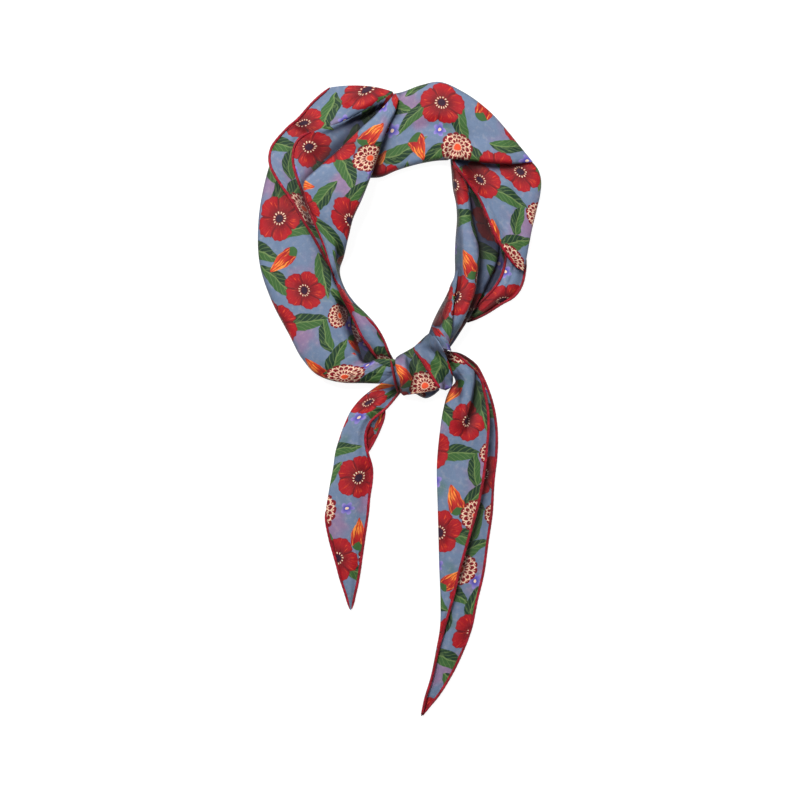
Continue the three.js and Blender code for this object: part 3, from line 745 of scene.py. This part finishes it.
def add_hem(name, line, taper=0.006):
    """A rolled hem along a line: a soft tube with the slight beading of its stitches"""
    size = sizes()
    radius = size.hem / 2
    line = line.copy()
    kernel = np.array([1, 2, 3, 2, 1]) / 9
    for axis in range(3):
        padded = np.pad(line[:, axis], 2, mode="edge")
        line[:, axis] = np.convolve(padded, kernel, mode="valid")
    line[:, 2] = np.maximum(line[:, 2], radius)
    path = path_of(line)
    fine = np.linspace(0, path[-1], max(int(path[-1] / HEM_STEP), 12))
    line = np.stack([np.interp(fine, path, line[:, axis]) for axis in range(3)], axis=1)
    for _ in range(HEM_CALM):
        line[1:-1] = (line[:-2] + 2 * line[1:-1] + line[2:]) / 4
    tangent = np.gradient(line, axis=0)
    tangent /= np.linalg.norm(tangent, axis=1, keepdims=True)
    side = np.cross(tangent, [0, 0, 1])
    side /= np.linalg.norm(side, axis=1, keepdims=True)
    up = np.cross(side, tangent)
    sides = bpy.context.scene.scarf_stage.hem_sides
    angle = np.linspace(0, 2 * math.pi, sides, endpoint=False)
    from_end = np.minimum(fine, fine[-1] - fine)
    close = np.sqrt(np.clip(1 - (1 - np.clip(from_end / radius, 0, 1)) ** 2, 0.02, 1))
    close = close * (HEM_END + (1 - HEM_END) * ease(from_end / taper))
    stitches = np.sin(fine / STITCH * 2 * math.pi)
    bead = 1 + BEAD * stitches + UNEVEN * ripple(line[:, :2], UNEVEN_LENGTH, HEM_SEED)
    reach = (radius * close * bead)[:, None, None]
    circle = side[:, None, :] * np.cos(angle)[None, :, None] + up[:, None, :] * np.sin(angle)[None, :, None]
    rings = line[:, None, :] + circle * reach
    round_it = angle[None, :] / (2 * math.pi) * size.hem * math.pi
    uv = np.stack(np.broadcast_arrays(round_it, fine[:, None]), axis=2)
    piece = ring_mesh(name, rings, uv, ladder=False)
    piece.data.materials.append(bpy.data.materials["Rolled hem"])
    RELIEF.lay(rings)
    return piece


def dress(strip, nodes=(), hems=()):
    """Attaches a strip and its hems to the root body, and hides the imported parts that they stand for"""
    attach(strip.piece, "root")
    if nodes:
        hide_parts(*nodes)
    for piece, hem_nodes in hems:
        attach(piece, "root")
        if hem_nodes:
            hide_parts(*hem_nodes)


def below(line, share):
    """The part of a line that lies below a share of the loop's height over the knot"""
    return line[line[:, 1] < KNOT_AT[1] + share * sizes().loop_height]


class Value:
    """A number in a node tree, which Python's signs can reckon with"""

    def __init__(self, shades, socket):
        self.shades = shades
        self.socket = socket

    def __add__(self, other):
        return self.shades.math("ADD", self, other)

    def __sub__(self, other):
        return self.shades.math("SUBTRACT", self, other)

    def __rsub__(self, other):
        return self.shades.math("SUBTRACT", other, self)

    def __mul__(self, other):
        return self.shades.math("MULTIPLY", self, other)

    def __rtruediv__(self, other):
        return self.shades.math("DIVIDE", other, self)

    def __pow__(self, other):
        return self.shades.math("POWER", self, other)

    def __abs__(self):
        return self.shades.math("ABSOLUTE", self)

    __radd__ = __add__
    __rmul__ = __mul__

    def sine(self):
        return self.shades.math("SINE", self)

    def root(self):
        return self.shades.math("SQRT", self)

    def step(self, low, high):
        """Smooth step from 0 at the low value to 1 at the high one"""
        return Value(self.shades, self.shades.made(
            "ShaderNodeMapRange", self, low, high, 0.0, 1.0, interpolation_type="SMOOTHSTEP"))


class Shades:
    """Adds nodes to a tree, one call for each node"""

    def __init__(self, tree):
        self.tree = tree

    def add(self, kind, **settings):
        node = self.tree.nodes.new(kind)
        for name, value in settings.items():
            setattr(node, name, value)
        return node

    def feed(self, sockets, *values):
        """Links each value to its socket, or sets it there"""
        for socket, value in zip(sockets, values):
            if isinstance(value, Value):
                value = value.socket
            if isinstance(value, bpy.types.NodeSocket):
                self.tree.links.new(value, socket)
            elif socket.type == "RGBA":
                socket.default_value = (*value, 1.0)
            else:
                socket.default_value = value

    def made(self, kind, *values, **settings):
        """The first output of a new node whose first inputs take the values"""
        node = self.add(kind, **settings)
        self.feed(node.inputs, *values)
        return node.outputs[0]

    def math(self, operation, *values):
        return Value(self, self.made("ShaderNodeMath", *values, operation=operation))

    def vector(self, operation, *values):
        return self.made("ShaderNodeVectorMath", *values, operation=operation)

    def scaled(self, vector, factor):
        node = self.add("ShaderNodeVectorMath", operation="SCALE")
        self.feed((node.inputs[0], node.inputs["Scale"]), vector, factor)
        return node.outputs[0]

    def mix(self, factor, first, second, blend="MIX"):
        node = self.add("ShaderNodeMix", data_type="RGBA", blend_type=blend)
        self.feed((node.inputs[0], node.inputs[6], node.inputs[7]), factor, first, second)
        return node.outputs[2]

    def layered(self, colour, *layers):
        """A colour with others laid over it, each where its share says"""
        for share, over in layers:
            colour = self.mix(share, colour, over)
        return colour

    def noise(self, vector, scale, detail=2.0, rough=0.5):
        """A noise as a number and as a colour"""
        node = self.add("ShaderNodeTexNoise")
        wanted = [node.inputs[name] for name in ("Vector", "Scale", "Detail", "Roughness")]
        self.feed(wanted, vector, scale, detail, rough)
        return Value(self, node.outputs[0]), node.outputs["Color"]

    def split(self, vector):
        node = self.add("ShaderNodeSeparateXYZ")
        self.feed(node.inputs, vector)
        return [Value(self, output) for output in node.outputs]

    def group(self, tree, **values):
        node = self.add("ShaderNodeGroup", node_tree=tree)
        self.feed([node.inputs[name] for name in values], *values.values())
        return node.outputs


VECTOR, NUMBER, COLOUR = "NodeSocketVector", "NodeSocketFloat", "NodeSocketColor"

HEART = tone(52, 18, 44)                        # the middle of the wide flowers
FLAME = tone(250, 150, 60)                      # streaks of the buds
LILAC = tone(146, 132, 200)                     # petal tips of the small flowers
# Painted shade: the colour that the cloth's colour is multiplied by in the deepest folds
FOLD_TINT = (0.10, 0.085, 0.13)                 # what a deep fold leaves of a colour
SHEEN_ROUGHNESS = 0.35
SPECULAR = 0.28
BUMP_STRENGTH = 0.6


def group_of(name, inputs, outputs, draw):
    """A node group filled by a function, which takes its inputs and returns its outputs"""
    tree = bpy.data.node_groups.new(name, "ShaderNodeTree")
    for way, sockets in (("INPUT", inputs), ("OUTPUT", outputs)):
        for label, kind in sockets:
            tree.interface.new_socket(label, in_out=way, socket_type=kind)
    shades = Shades(tree)
    entry = shades.add("NodeGroupInput").outputs
    given = [Value(shades, entry[label]) if kind == NUMBER else entry[label] for label, kind in inputs]
    leave = shades.add("NodeGroupOutput").inputs
    shades.feed(leave, *draw(shades, *given))
    return tree


def nearer(shades, cloth, middle, turn, reach, slim, best):
    """Keeps, of the motifs of one kind, the one that a cloth position is nearest to

    A motif's own position runs from 0 at its middle to 1 at its tip; its third value is how far off it is.
    """
    half = sizes().repeat / 2
    offset = shades.vector("SUBTRACT", cloth, middle)
    wrapped = shades.vector("WRAP", offset, (half,) * 3, (-half,) * 3)
    turned = shades.add("ShaderNodeVectorRotate", rotation_type="Z_AXIS")
    shades.feed((turned.inputs["Vector"], turned.inputs["Angle"]), wrapped, turn)
    across, up, _ = shades.split(shades.scaled(turned.outputs[0], 1.0 / reach))
    slim_up = up * slim
    far = (across * across + slim_up * slim_up).root()
    spot = shades.made("ShaderNodeCombineXYZ", across, up, far)
    closer = shades.math("LESS_THAN", far, shades.split(best)[2])
    choice = shades.add("ShaderNodeMix", data_type="VECTOR")
    shades.feed((choice.inputs[0], choice.inputs[4], choice.inputs[5]), closer, best, spot)
    return [choice.outputs[1]]


def polar(shades, spot):
    """Distance and angle of a motif's own position"""
    across, up, _ = shades.split(spot)
    return (across * across + up * up).root(), shades.math("ARCTAN2", up, across)


def poppy(shades, spot):
    """A wide flower of five overlapping petals round a dark heart with cream stamens"""
    paint = colours()
    distance, angle = polar(shades, spot)
    wave = abs((angle * 2.5).sine())
    inside = 0.76 + wave ** 0.5 * 0.22 + (angle * 23.0).sine() * 0.015 - distance
    streaks, _ = shades.noise(shades.made("ShaderNodeCombineXYZ", angle * 9.0, distance * 1.6), 1.4, 3.0)
    stamens = (angle * 13.0).sine().step(0.1, 0.5) * abs(distance - 0.25).step(0.05, 0.03)
    return inside.step(-0.01, 0.02), shades.layered(
        paint.deep, (distance.step(0.15, 0.8), paint.red), (streaks.step(0.55, 0.75), paint.orange),
        (wave.step(0.30, 0.05) * distance.step(0.2, 0.5) * 0.85, paint.deep),
        (inside.step(0.05, 0.02) * 0.55, paint.deep), (distance.step(0.19, 0.16), HEART),
        (stamens, paint.cream))


def aster(shades, spot):
    """A round flower of many small petals in rings, each edged in cream"""
    paint = colours()
    distance, angle = polar(shades, spot)
    deep = distance * 3.6
    inside = shades.math("FRACT", deep)
    petal = abs((angle * 7.0 + shades.math("FLOOR", deep) * (math.pi / 2)).sine())
    edge = abs(inside - petal ** 0.6 * 0.85).step(0.20, 0.08)
    line = shades.math("MAXIMUM", edge, petal.step(0.30, 0.12))
    return (0.84 + petal ** 0.5 * 0.12 - distance).step(-0.01, 0.02), shades.layered(
        paint.deep, (inside, paint.red), (line, paint.cream), (distance.step(0.22, 0.16), paint.orange))


def leaf(shades, spot):
    """A long leaf with a bent midrib, veins, and one half in shade"""
    paint = colours()
    along, side, _ = shades.split(spot)
    square = along * along
    bent = side - (square - 0.4) * 0.16
    outline = (1.0 - square) * 0.30 * (1.0 - along * 0.25)
    off = abs(bent)
    wave = ((off * 1.6 - along) * 26.0).sine()
    patch, _ = shades.noise(spot, 3.0, 2.0)
    return (outline - off).step(-0.004, 0.02), shades.layered(
        paint.leaf_dark, (bent.step(-0.03, 0.03), paint.leaf),
        (wave.step(0.72, 0.95) * 0.55, paint.leaf_light), (off.step(0.030, 0.014), paint.leaf_light),
        (patch.step(0.5, 0.7) * 0.45, paint.leaf_light))


def bud(shades, spot):
    """A pointed bud, red at its foot and orange at its tip, in a small green cup"""
    paint = colours()
    along, side, _ = shades.split(spot)
    full = shades.math("MAXIMUM", 1.0 - along * along, 0.0).root()
    outline = full * 0.46 * (1.0 - along * 0.55)
    off = abs(side)
    streaks, _ = shades.noise(shades.vector("MULTIPLY", spot, (1.2, 11.0, 1.0)), 1.0, 2.0)
    seam = abs(off - outline * 0.5).step(0.035, 0.012) * 0.6
    return (outline - off).step(-0.01, 0.02), shades.layered(
        paint.red, (along.step(-0.6, 0.7), paint.orange), (streaks.step(0.52, 0.68), FLAME),
        (seam, paint.deep), ((along + off * 0.7).step(-0.42, -0.50), paint.leaf))


def starlet(shades, spot):
    """A small violet flower of five round petals"""
    paint = colours()
    distance, angle = polar(shades, spot)
    rim = 0.5 + abs((angle * 2.5).sine()) * 0.45
    return (rim - distance).step(-0.02, 0.05), shades.layered(
        paint.violet, (distance.step(0.2, 0.9), LILAC), (distance.step(0.26, 0.18), paint.cream))


# The motifs in the order in which they are painted: how slim each is, and its places
# A place is its middle in thousandths of the repeat, its turn in degrees and its reach in tenths of a mm
MOTIFS = (
    (leaf, 2.4, (
        (310, 100, 20, 180), (20, 300, 105, 170), (520, 300, 70, 180), (800, 300, -35, 180),
        (930, 120, 60, 160), (230, 500, 160, 170), (600, 540, 10, 180), (780, 500, 120, 160),
        (50, 600, 40, 180), (340, 780, -60, 180), (520, 920, 150, 170), (920, 830, 15, 180),
        (120, 920, -20, 170), (720, 720, -70, 160), (440, 140, 118, 150))),
    (bud, 1.6, (
        (400, 360, 130, 105), (900, 340, 40, 100), (80, 790, -110, 105), (600, 800, 60, 100),
        (660, 200, -60, 95))),
    (starlet, 1.0, (
        (240, 300, 10, 50), (680, 400, 50, 55), (970, 470, 80, 50), (470, 760, 20, 50), (820, 930, 0, 55),
        (600, 60, 40, 45))),
    (poppy, 1.0, (
        (130, 140, 15, 145), (760, 100, 40, 135), (400, 570, 0, 150), (900, 620, 70, 145),
        (270, 900, 50, 135), (720, 860, 20, 110))),
    (aster, 1.0, ((130, 440, 0, 130), (560, 400, 30, 110), (500, 20, 60, 90))),
)
FAR_OFF = (9.0, 9.0, 9.0)  # a motif position that any real motif is nearer than


def botanical_print(shades, cloth):
    """The whole print: washes on the ground, then every motif over it, and a fine grain"""
    paint = colours()
    near = group_of(
        "Nearer motif",
        (("Cloth", VECTOR), ("Middle", VECTOR), ("Turn", NUMBER), ("Reach", NUMBER), ("Slim", NUMBER),
         ("Best", VECTOR)), (("Best", VECTOR),), nearer)
    _, sway = shades.noise(cloth, 110.0, 2.0)
    sway = shades.scaled(shades.vector("SUBTRACT", sway, (0.5, 0.5, 0.5)), 0.0034)
    drawn = shades.vector("ADD", cloth, sway)
    pool, _ = shades.noise(cloth, 26.0, 3.0)
    fleck, _ = shades.noise(cloth, 320.0, 3.0)
    body = shades.layered(
        paint.ground, (pool.step(0.52, 0.66), paint.wash), (pool.step(0.44, 0.30), paint.shade),
        (fleck.step(0.5, 0.7) * 0.08, paint.cream))
    share = sizes().repeat / 1000
    for draw, slim, places in MOTIFS:
        spot = FAR_OFF
        for across, up, turn, reach in places:
            spot = shades.group(
                near, Cloth=drawn, Middle=(across * share, up * share, 0.0), Turn=math.radians(turn),
                Reach=reach / 10000, Slim=slim, Best=spot)["Best"]
        motif = group_of(
            draw.__name__.title(), (("Spot", VECTOR),), (("Mask", NUMBER), ("Color", COLOUR)), draw)
        painted = shades.group(motif, Spot=spot)
        body = shades.mix(painted["Mask"], body, painted["Color"])
    fine, _ = shades.noise(cloth, 1200.0, 2.0)
    grain = 0.76 + (fleck + fine) * 0.24
    return [shades.mix(1.0, body, shades.made("ShaderNodeCombineColor", grain, grain, grain), "MULTIPLY")]


def weave(shades, cloth, thread, crinkle):
    """Crepe weave: crossing threads broken by a fine crinkle, as a height and a roughness"""
    pitch = 2 * math.pi / thread
    along, side, _ = shades.split(cloth)
    rough, _ = shades.noise(cloth, 1.0 / crinkle, 3.0, 0.6)
    return (along * pitch).sine() * (side * pitch).sine() * 0.25 + rough, 0.46 + rough * 0.22


def fold_shade(shades, colour, hollow):
    """Darkens a colour where the cloth lies deep in a fold: painted shade in the base colour, laid over the
    rendered shading
    """
    return [shades.mix(hollow.step(0.03, 0.42) * 0.96, colour, FOLD_TINT, "MULTIPLY")]


def cloth_material(name, draw, thread, crinkle, bump, sheen):
    """A woven material on the piece's own cloth map, with the colours that a function draws on it"""
    look = bpy.data.materials.new(name)
    look.use_nodes = True
    shades = Shades(look.node_tree)
    shader = look.node_tree.nodes["Principled BSDF"].inputs
    cloth = shades.made("ShaderNodeUVMap", uv_map="cloth")
    woven = shades.group(bpy.data.node_groups["Crepe weave"], Cloth=cloth, Thread=thread, Crinkle=crinkle)
    relief = shades.add("ShaderNodeBump")
    inputs = [relief.inputs[label] for label in ("Strength", "Distance", "Height")]
    shades.feed(inputs, BUMP_STRENGTH, bump, woven["Height"])
    # Painted shade: the base colour darkens where the hollow attribute says the cloth lies deep in a fold
    hollow = shades.add("ShaderNodeAttribute", attribute_name="hollow").outputs["Fac"]
    shaded = shades.group(bpy.data.node_groups["Fold shade"], Color=draw(shades, cloth), Hollow=hollow)
    settings = {
        "Sheen Weight": sheen, "Sheen Roughness": SHEEN_ROUGHNESS, "Specular IOR Level": SPECULAR,
        "Normal": relief.outputs[0], "Roughness": woven["Roughness"], "Base Color": shaded["Color"],
    }
    shades.feed([shader[label] for label in settings], *settings.values())


def printed(shades, cloth):
    """The silk's colour"""
    drawn = group_of("Botanical print", (("Cloth", VECTOR),), (("Color", COLOUR),), botanical_print)
    return shades.group(drawn, Cloth=cloth)["Color"]


def crimson(shades, cloth):
    """The hem's colour, lighter and darker where it is worn"""
    hem = colours().hem
    worn, _ = shades.noise(cloth, 260.0, 3.0)
    dark = [value * 0.55 for value in hem]
    light = [min(1.0, value * 1.5 + 0.012) for value in hem]
    return shades.layered(dark, (worn.step(0.35, 0.65), hem), (worn.step(0.6, 0.75), light))


class SCARF_OT_materials(Operator):
    """Make the printed silk and the crimson of the rolled hems"""

    bl_idname = "scarf.materials"
    bl_label = "Make the materials"

    def execute(self, context):
        group_of(
            "Crepe weave", (("Cloth", VECTOR), ("Thread", NUMBER), ("Crinkle", NUMBER)),
            (("Height", NUMBER), ("Roughness", NUMBER)), weave)
        group_of("Fold shade", (("Color", COLOUR), ("Hollow", NUMBER)), (("Color", COLOUR),), fold_shade)
        cloth_material("Printed silk", printed, thread=0.0007, crinkle=0.0011, bump=0.00030, sheen=0.06)
        cloth_material("Rolled hem", crimson, thread=0.0007, crinkle=0.0009, bump=0.00015, sheen=0.12)
        return {"FINISHED"}


class SCARF_OT_flap(Operator):
    """Lay the turned flap at the right, the layers that come out under it and the two rolls"""

    bl_idname = "scarf.flap"
    bl_label = "Lay the flap and the rolls"

    def execute(self, context):
        slack = sizes().front_height
        rise = sizes().band_height
        inner = Strip("flap_inner", FLAP_INNER, slack, 0.4, (0.050, 0.010), 3.3, (CUT, CUT))
        under = Strip("flap_under", FLAP_UNDER, slack, 0.9, (0.020, 0.050), 2.1, (CUT, CUT),
                      lifts=(0.0032, 0.0004))
        hem = add_hem("roll_hem_inner", under.edge(LEFT))
        dress(inner, ["flap_inner"], [(hem, ["hem_inner"])])
        hem = add_hem("roll_hem_under", below(under.edge(RIGHT), 0.40))
        dress(under, ["flap_under"], [(hem, ["hem_under"])])
        middle = Strip("roll_middle", ROLL_MIDDLE, rise, 0.5, (0.070, 0.040), 4.7)
        dress(middle, ["roll_middle"])
        roll = Strip("roll_inner", ROLL_INNER, rise, 0.2, (0.030, 0.080), 5.2,
                     round_most=(0.006, 0.003), calm=10)
        sliver = add_hem("roll_hem_sliver", resting_line(SLIVER_HEM))
        dress(roll, ["roll_inner"], [(sliver, [])])
        dress(Strip("roll_twist", TWIST, slack * 0.55, 0.9, (0.030, 0.040), 5.8,
                    round_most=(0.006, 0.0025), calm=10))
        turn = Strip("band_turn", BAND_TURN, slack, 0.75, (0.010, 0.090), 6.4, (CUT, FOLD),
                     lifts=(0.0040, 0))
        hem = add_hem("roll_hem_turn", turn.edge(LEFT)[HIDDEN_START:])
        dress(turn, ["band_turn"], [(hem, ["hem_turn"])])
        return {"FINISHED"}


class SCARF_OT_band(Operator):
    """Lay the band over the top of the loop and down its left side"""

    bl_idname = "scarf.band"
    bl_label = "Lay the band"

    def execute(self, context):
        rise = sizes().band_height
        dress(Strip("recess_floor", RECESS_FLOOR, rise, 0.9, (0.030, 0.010), 2.8, (CUT, CUT)))
        pocket = (CREASE, -0.0065, 0.0085, 0.15, 0.2, POCKET_LINE)
        tuck = (CREASE, -0.0050, 0.0035, 0.3, 0.15, TUCK_LINE)
        dip = (CREASE, -0.0012, 0.005, 0.3, 0.3)
        top = Strip("band_top", BAND_TOP, rise, 1.1, (0.055, 0.030), 7.9,
                    folds=(pocket, tuck, (*dip, TOP_DIP)), round_most=(0.006, 0.003))
        dress(top, ["band_top"])
        recess = (CREASE, -0.0060, 0.0045, 0.3, 0.1, RECESS_LINE)
        left = Strip("band_left", BAND_LEFT, rise, 0.6, (0.085, 0.020), 8.8,
                     folds=(pocket, recess, (*dip, LEFT_DIP)), round_most=(0.006, 0.003))
        dress(left, ["band_left"])
        LAID["band_left"] = left
        return {"FINISHED"}


class SCARF_OT_front(Operator):
    """Lay the two free layers on the left band, and the roll on top of them"""

    bl_idname = "scarf.front"
    bl_label = "Lay the front folds"

    def execute(self, context):
        rise = sizes().front_height
        tuck = (CREASE, -0.0022, 0.0030, 0.3, 0.15, TUCK_LINE)
        ridge = (STEP, 0.0032, 0.009, 0.3, 0.15, RIDGE_LINE)
        outer = Strip("fold_outer", FOLD_OUTER, rise, 0.3, (0.040, 0.060), 9.1, (CUT, CUT),
                      folds=(ridge, tuck), bow=0.0034, calm=30)
        hem = add_hem("roll_hem_outer", outer.edge(LEFT))
        dress(outer, ["fold_outer"], [(hem, ["hem_outer"])])
        middle = Strip("fold_middle", FOLD_MIDDLE, rise, 0.7, (0.090, 0.070), 10.6, (CUT, CUT),
                       folds=(tuck,), calm=30)
        dress(middle, ["fold_middle"])
        front = Strip("fold_front", FOLD_FRONT, rise, 0.85, (0.020, 0.020), 11.5, (FOLD, HANG),
                      round_most=(0.0022, 0.0026), level=0.10)
        upper = below(middle.edge(LEFT), 0.83)
        lower = front.edge(LEFT)
        lower = lower[lower[:, 1] < upper[-1, 1] - HEM_JOIN]
        hem = add_hem("roll_hem_front", np.concatenate([upper, lower]))
        lens = add_hem("roll_hem_lens", resting_line(LENS_HEM, sink=0.0014))
        dress(front, ["fold_front", "fold_lower"], [(hem, ["hem_middle", "hem_front"]), (lens, [])])
        crease = (CREASE, -0.0016, 0.003, 0.3, 0.3, ROLL_CREASE)
        dress(Strip("roll_left", ROLL_LEFT, sizes().band_height, 0.6, (0.085, 0.020), 8.8,
                    folds=(crease,), round_most=(0.006, 0.004), follow=LAID["band_left"]))
        return {"FINISHED"}


class SCARF_OT_short_tail(Operator):
    """Lay the short tail with its hems"""

    bl_idname = "scarf.short_tail"
    bl_label = "Lay the short tail"

    def execute(self, context):
        size = sizes()
        slack = size.front_height
        extent = (size.short_tail, size.short_width)
        back = Strip("tail_short_back", SHORT_BACK, slack, 0.5, (0.030, 0.030), 13.1, (FOLD, CUT), extent)
        hem = add_hem("roll_hem_short_back", resting_line(SHORT_BACK_HEM))
        dress(back, ["tail_short_back"], [(hem, [])])
        front = Strip("tail_short_front", SHORT_FRONT, slack, 0.8, (0.060, 0.070), 14.9, (HANG, CUT), extent)
        hem = add_hem("roll_hem_short_front", front.edge(RIGHT)[HIDDEN_START:])
        left_hem = add_hem("roll_hem_short_left", below(front.edge(LEFT), -0.47))
        dress(front, ["tail_short_front"], [(hem, ["hem_short_front"]), (left_hem, [])])
        return {"FINISHED"}


class SCARF_OT_long_tail(Operator):
    """Lay the long tail with its hems"""

    bl_idname = "scarf.long_tail"
    bl_label = "Lay the long tail"

    def execute(self, context):
        size = sizes()
        slack = size.front_height
        extent = (size.long_tail, size.long_width)
        back = Strip("tail_long_back", LONG_BACK, slack, 0.65, (0.080, 0.030), 15.4, (CUT, CUT), extent)
        hem = add_hem("roll_hem_long_back", back.edge(RIGHT))
        dress(back, ["tail_long_back"], [(hem, ["hem_long_back"])])
        ridge = (STEP, 0.0040, 0.007, 0.2, 0.3, LONG_RIDGE)
        valley = (CREASE, -0.0064, 0.0050, 0.1, 0.5, LONG_VALLEY)
        tuck = (CREASE, -0.0028, 0.0025, 0.1, 0.5, LONG_TUCK)
        front = Strip("tail_long_front", LONG_FRONT, slack, 0.35, (0.010, 0.050), 16.3, (HANG, CUT), extent,
                      folds=(ridge, valley, tuck), lifts=(0, 0.002))
        hem = add_hem("roll_hem_long_front", front.edge(RIGHT))
        dress(front, ["tail_long_front"], [(hem, ["hem_long_front"])])
        return {"FINISHED"}


class SCARF_OT_knot(Operator):
    """Lay the two turns of the knot over all that passes through it"""

    bl_idname = "scarf.knot"
    bl_label = "Lay the knot"

    def execute(self, context):
        rise = sizes().knot_height
        dress(Strip("knot_inside", KNOT_INSIDE, rise * 0.35, 0.1, (0.045, 0.068), 17.1))
        dress(Strip("knot_belly", KNOT_BELLY, rise * 0.8, 0.4, (0.012, 0.052), 17.4, calm=8))
        left = Strip("knot_left", KNOT_LEFT, rise, 0.3, (0.050, 0.020), 17.7)
        hem = add_hem("roll_hem_knot_left", resting_line(KNOT_HEM))
        dress(left, ["knot_left"], [(hem, [])])
        right = Strip("knot_right", KNOT_RIGHT, rise * 0.45, 1.2, (0.0133, 0.0727), 18.5,
                      (CUT, FOLD), round_most=(0.006, 0.009), round_rate=2.2, taut=True)
        line = below(right.edge(LEFT), 0.098)
        from_start = np.linalg.norm(line[:, :2] - line[0, :2], axis=1)
        line[:, 2] -= KNOT_HEM_DIP * (1 - ease(from_start / KNOT_HEM_RISE))
        hem = add_hem("roll_hem_knot", line, taper=0.001)
        dress(right, ["knot_right"], [(hem, ["hem_knot"])])
        return {"FINISHED"}


class SCARF_OT_shade(Operator):
    """Tell each point of the cloth how deep in the folds it lies, for the painted shade that darkens its
    colour there
    """

    bl_idname = "scarf.shade"
    bl_label = "Shade the folds"

    def execute(self, context):
        hollows = RELIEF.hollows()
        for piece in context.scene.objects:
            if piece.name.startswith(("cloth_", "roll_hem_")):
                values = RELIEF.sample(hollows, spots_of(piece.data))
                layer = piece.data.attributes.new("hollow", "FLOAT", "POINT")
                layer.data.foreach_set("value", values.astype(np.float32))
        return {"FINISHED"}


class SCARF_OT_stage(Operator):
    """Set the light table, the soft light and the camera straight above"""

    bl_idname = "scarf.stage"
    bl_label = "Set the stage"

    def execute(self, context):
        scene = context.scene
        stage = scene.scarf_stage
        bpy.ops.object.select_all(action="DESELECT")
        bpy.ops.mesh.primitive_plane_add(size=TABLE_SIDE, location=(0, 0, TABLE_TOP))
        table = context.active_object
        table.name = "table"
        surface = bpy.data.materials.new("Light table")
        surface.use_nodes = True
        shader = surface.node_tree.nodes["Principled BSDF"].inputs
        shader["Base Color"].default_value = (*colours().table[:], 1.0)
        shader["Roughness"].default_value = 0.9
        shader["Emission Color"].default_value = WHITE
        shader["Emission Strength"].default_value = TABLE_GLOW
        table.data.materials.append(surface)
        scene.world = bpy.data.worlds.new("Soft daylight")
        scene.world.use_nodes = True
        sky = scene.world.node_tree.nodes["Background"].inputs
        sky[0].default_value = WHITE
        sky[1].default_value = WORLD_STRENGTH
        for name, place, size, power in (KEY_LIGHT, FILL_LIGHT):
            lamp = bpy.data.lights.new(name, "AREA")
            lamp.size = size
            lamp.energy = power
            light = bpy.data.objects.new(name, lamp)
            scene.collection.objects.link(light)
            light.location = place
            light.rotation_euler = (-Vector(place)).to_track_quat("-Z", "Y").to_euler()
        lens = bpy.data.cameras.new("camera")
        lens.sensor_width = SENSOR_WIDTH
        lens.lens = SENSOR_WIDTH * stage.camera_height / stage.view_side
        camera = bpy.data.objects.new("camera", lens)
        scene.collection.objects.link(camera)
        camera.location = (stage.camera_x, stage.camera_y, stage.camera_height)
        scene.camera = camera
        scene.view_settings.view_transform = "Standard"
        return {"FINISHED"}


class SCARF_PT_panel(Panel):
    """Lists the steps of the scarf in the sidebar"""

    bl_idname = "SCARF_PT_panel"
    bl_label = "Scarf"
    bl_space_type = "VIEW_3D"
    bl_region_type = "UI"
    bl_category = "Scarf"

    def draw(self, context):
        for step in STEPS:
            self.layout.operator(step.bl_idname)
        for setting in SETTINGS:
            group = getattr(context.scene, setting)
            for name in group.bl_rna.properties.keys():
                if name not in ("rna_type", "name"):
                    self.layout.prop(group, name)


STEPS = (
    SCARF_OT_stage, SCARF_OT_materials, SCARF_OT_flap, SCARF_OT_band, SCARF_OT_front, SCARF_OT_short_tail,
    SCARF_OT_long_tail, SCARF_OT_knot, SCARF_OT_shade,
)
SETTINGS = {"scarf_sizes": ScarfSizes, "scarf_colours": ScarfColours, "scarf_stage": ScarfStage}
CLASSES = (*SETTINGS.values(), *STEPS, SCARF_PT_panel)


def register():
    for item in CLASSES:
        bpy.utils.register_class(item)
    for name, group in SETTINGS.items():
        setattr(bpy.types.Scene, name, PointerProperty(type=group))


def unregister():
    for name in SETTINGS:
        delattr(bpy.types.Scene, name)
    for item in reversed(CLASSES):
        bpy.utils.unregister_class(item)


def main():
    register()
    bpy.ops.scarf.stage()
    bpy.ops.scarf.materials()
    bpy.ops.scarf.flap()
    bpy.ops.scarf.band()
    bpy.ops.scarf.front()
    bpy.ops.scarf.short_tail()
    bpy.ops.scarf.long_tail()
    bpy.ops.scarf.knot()
    bpy.ops.scarf.shade()


if __name__ == "__main__":
    main()
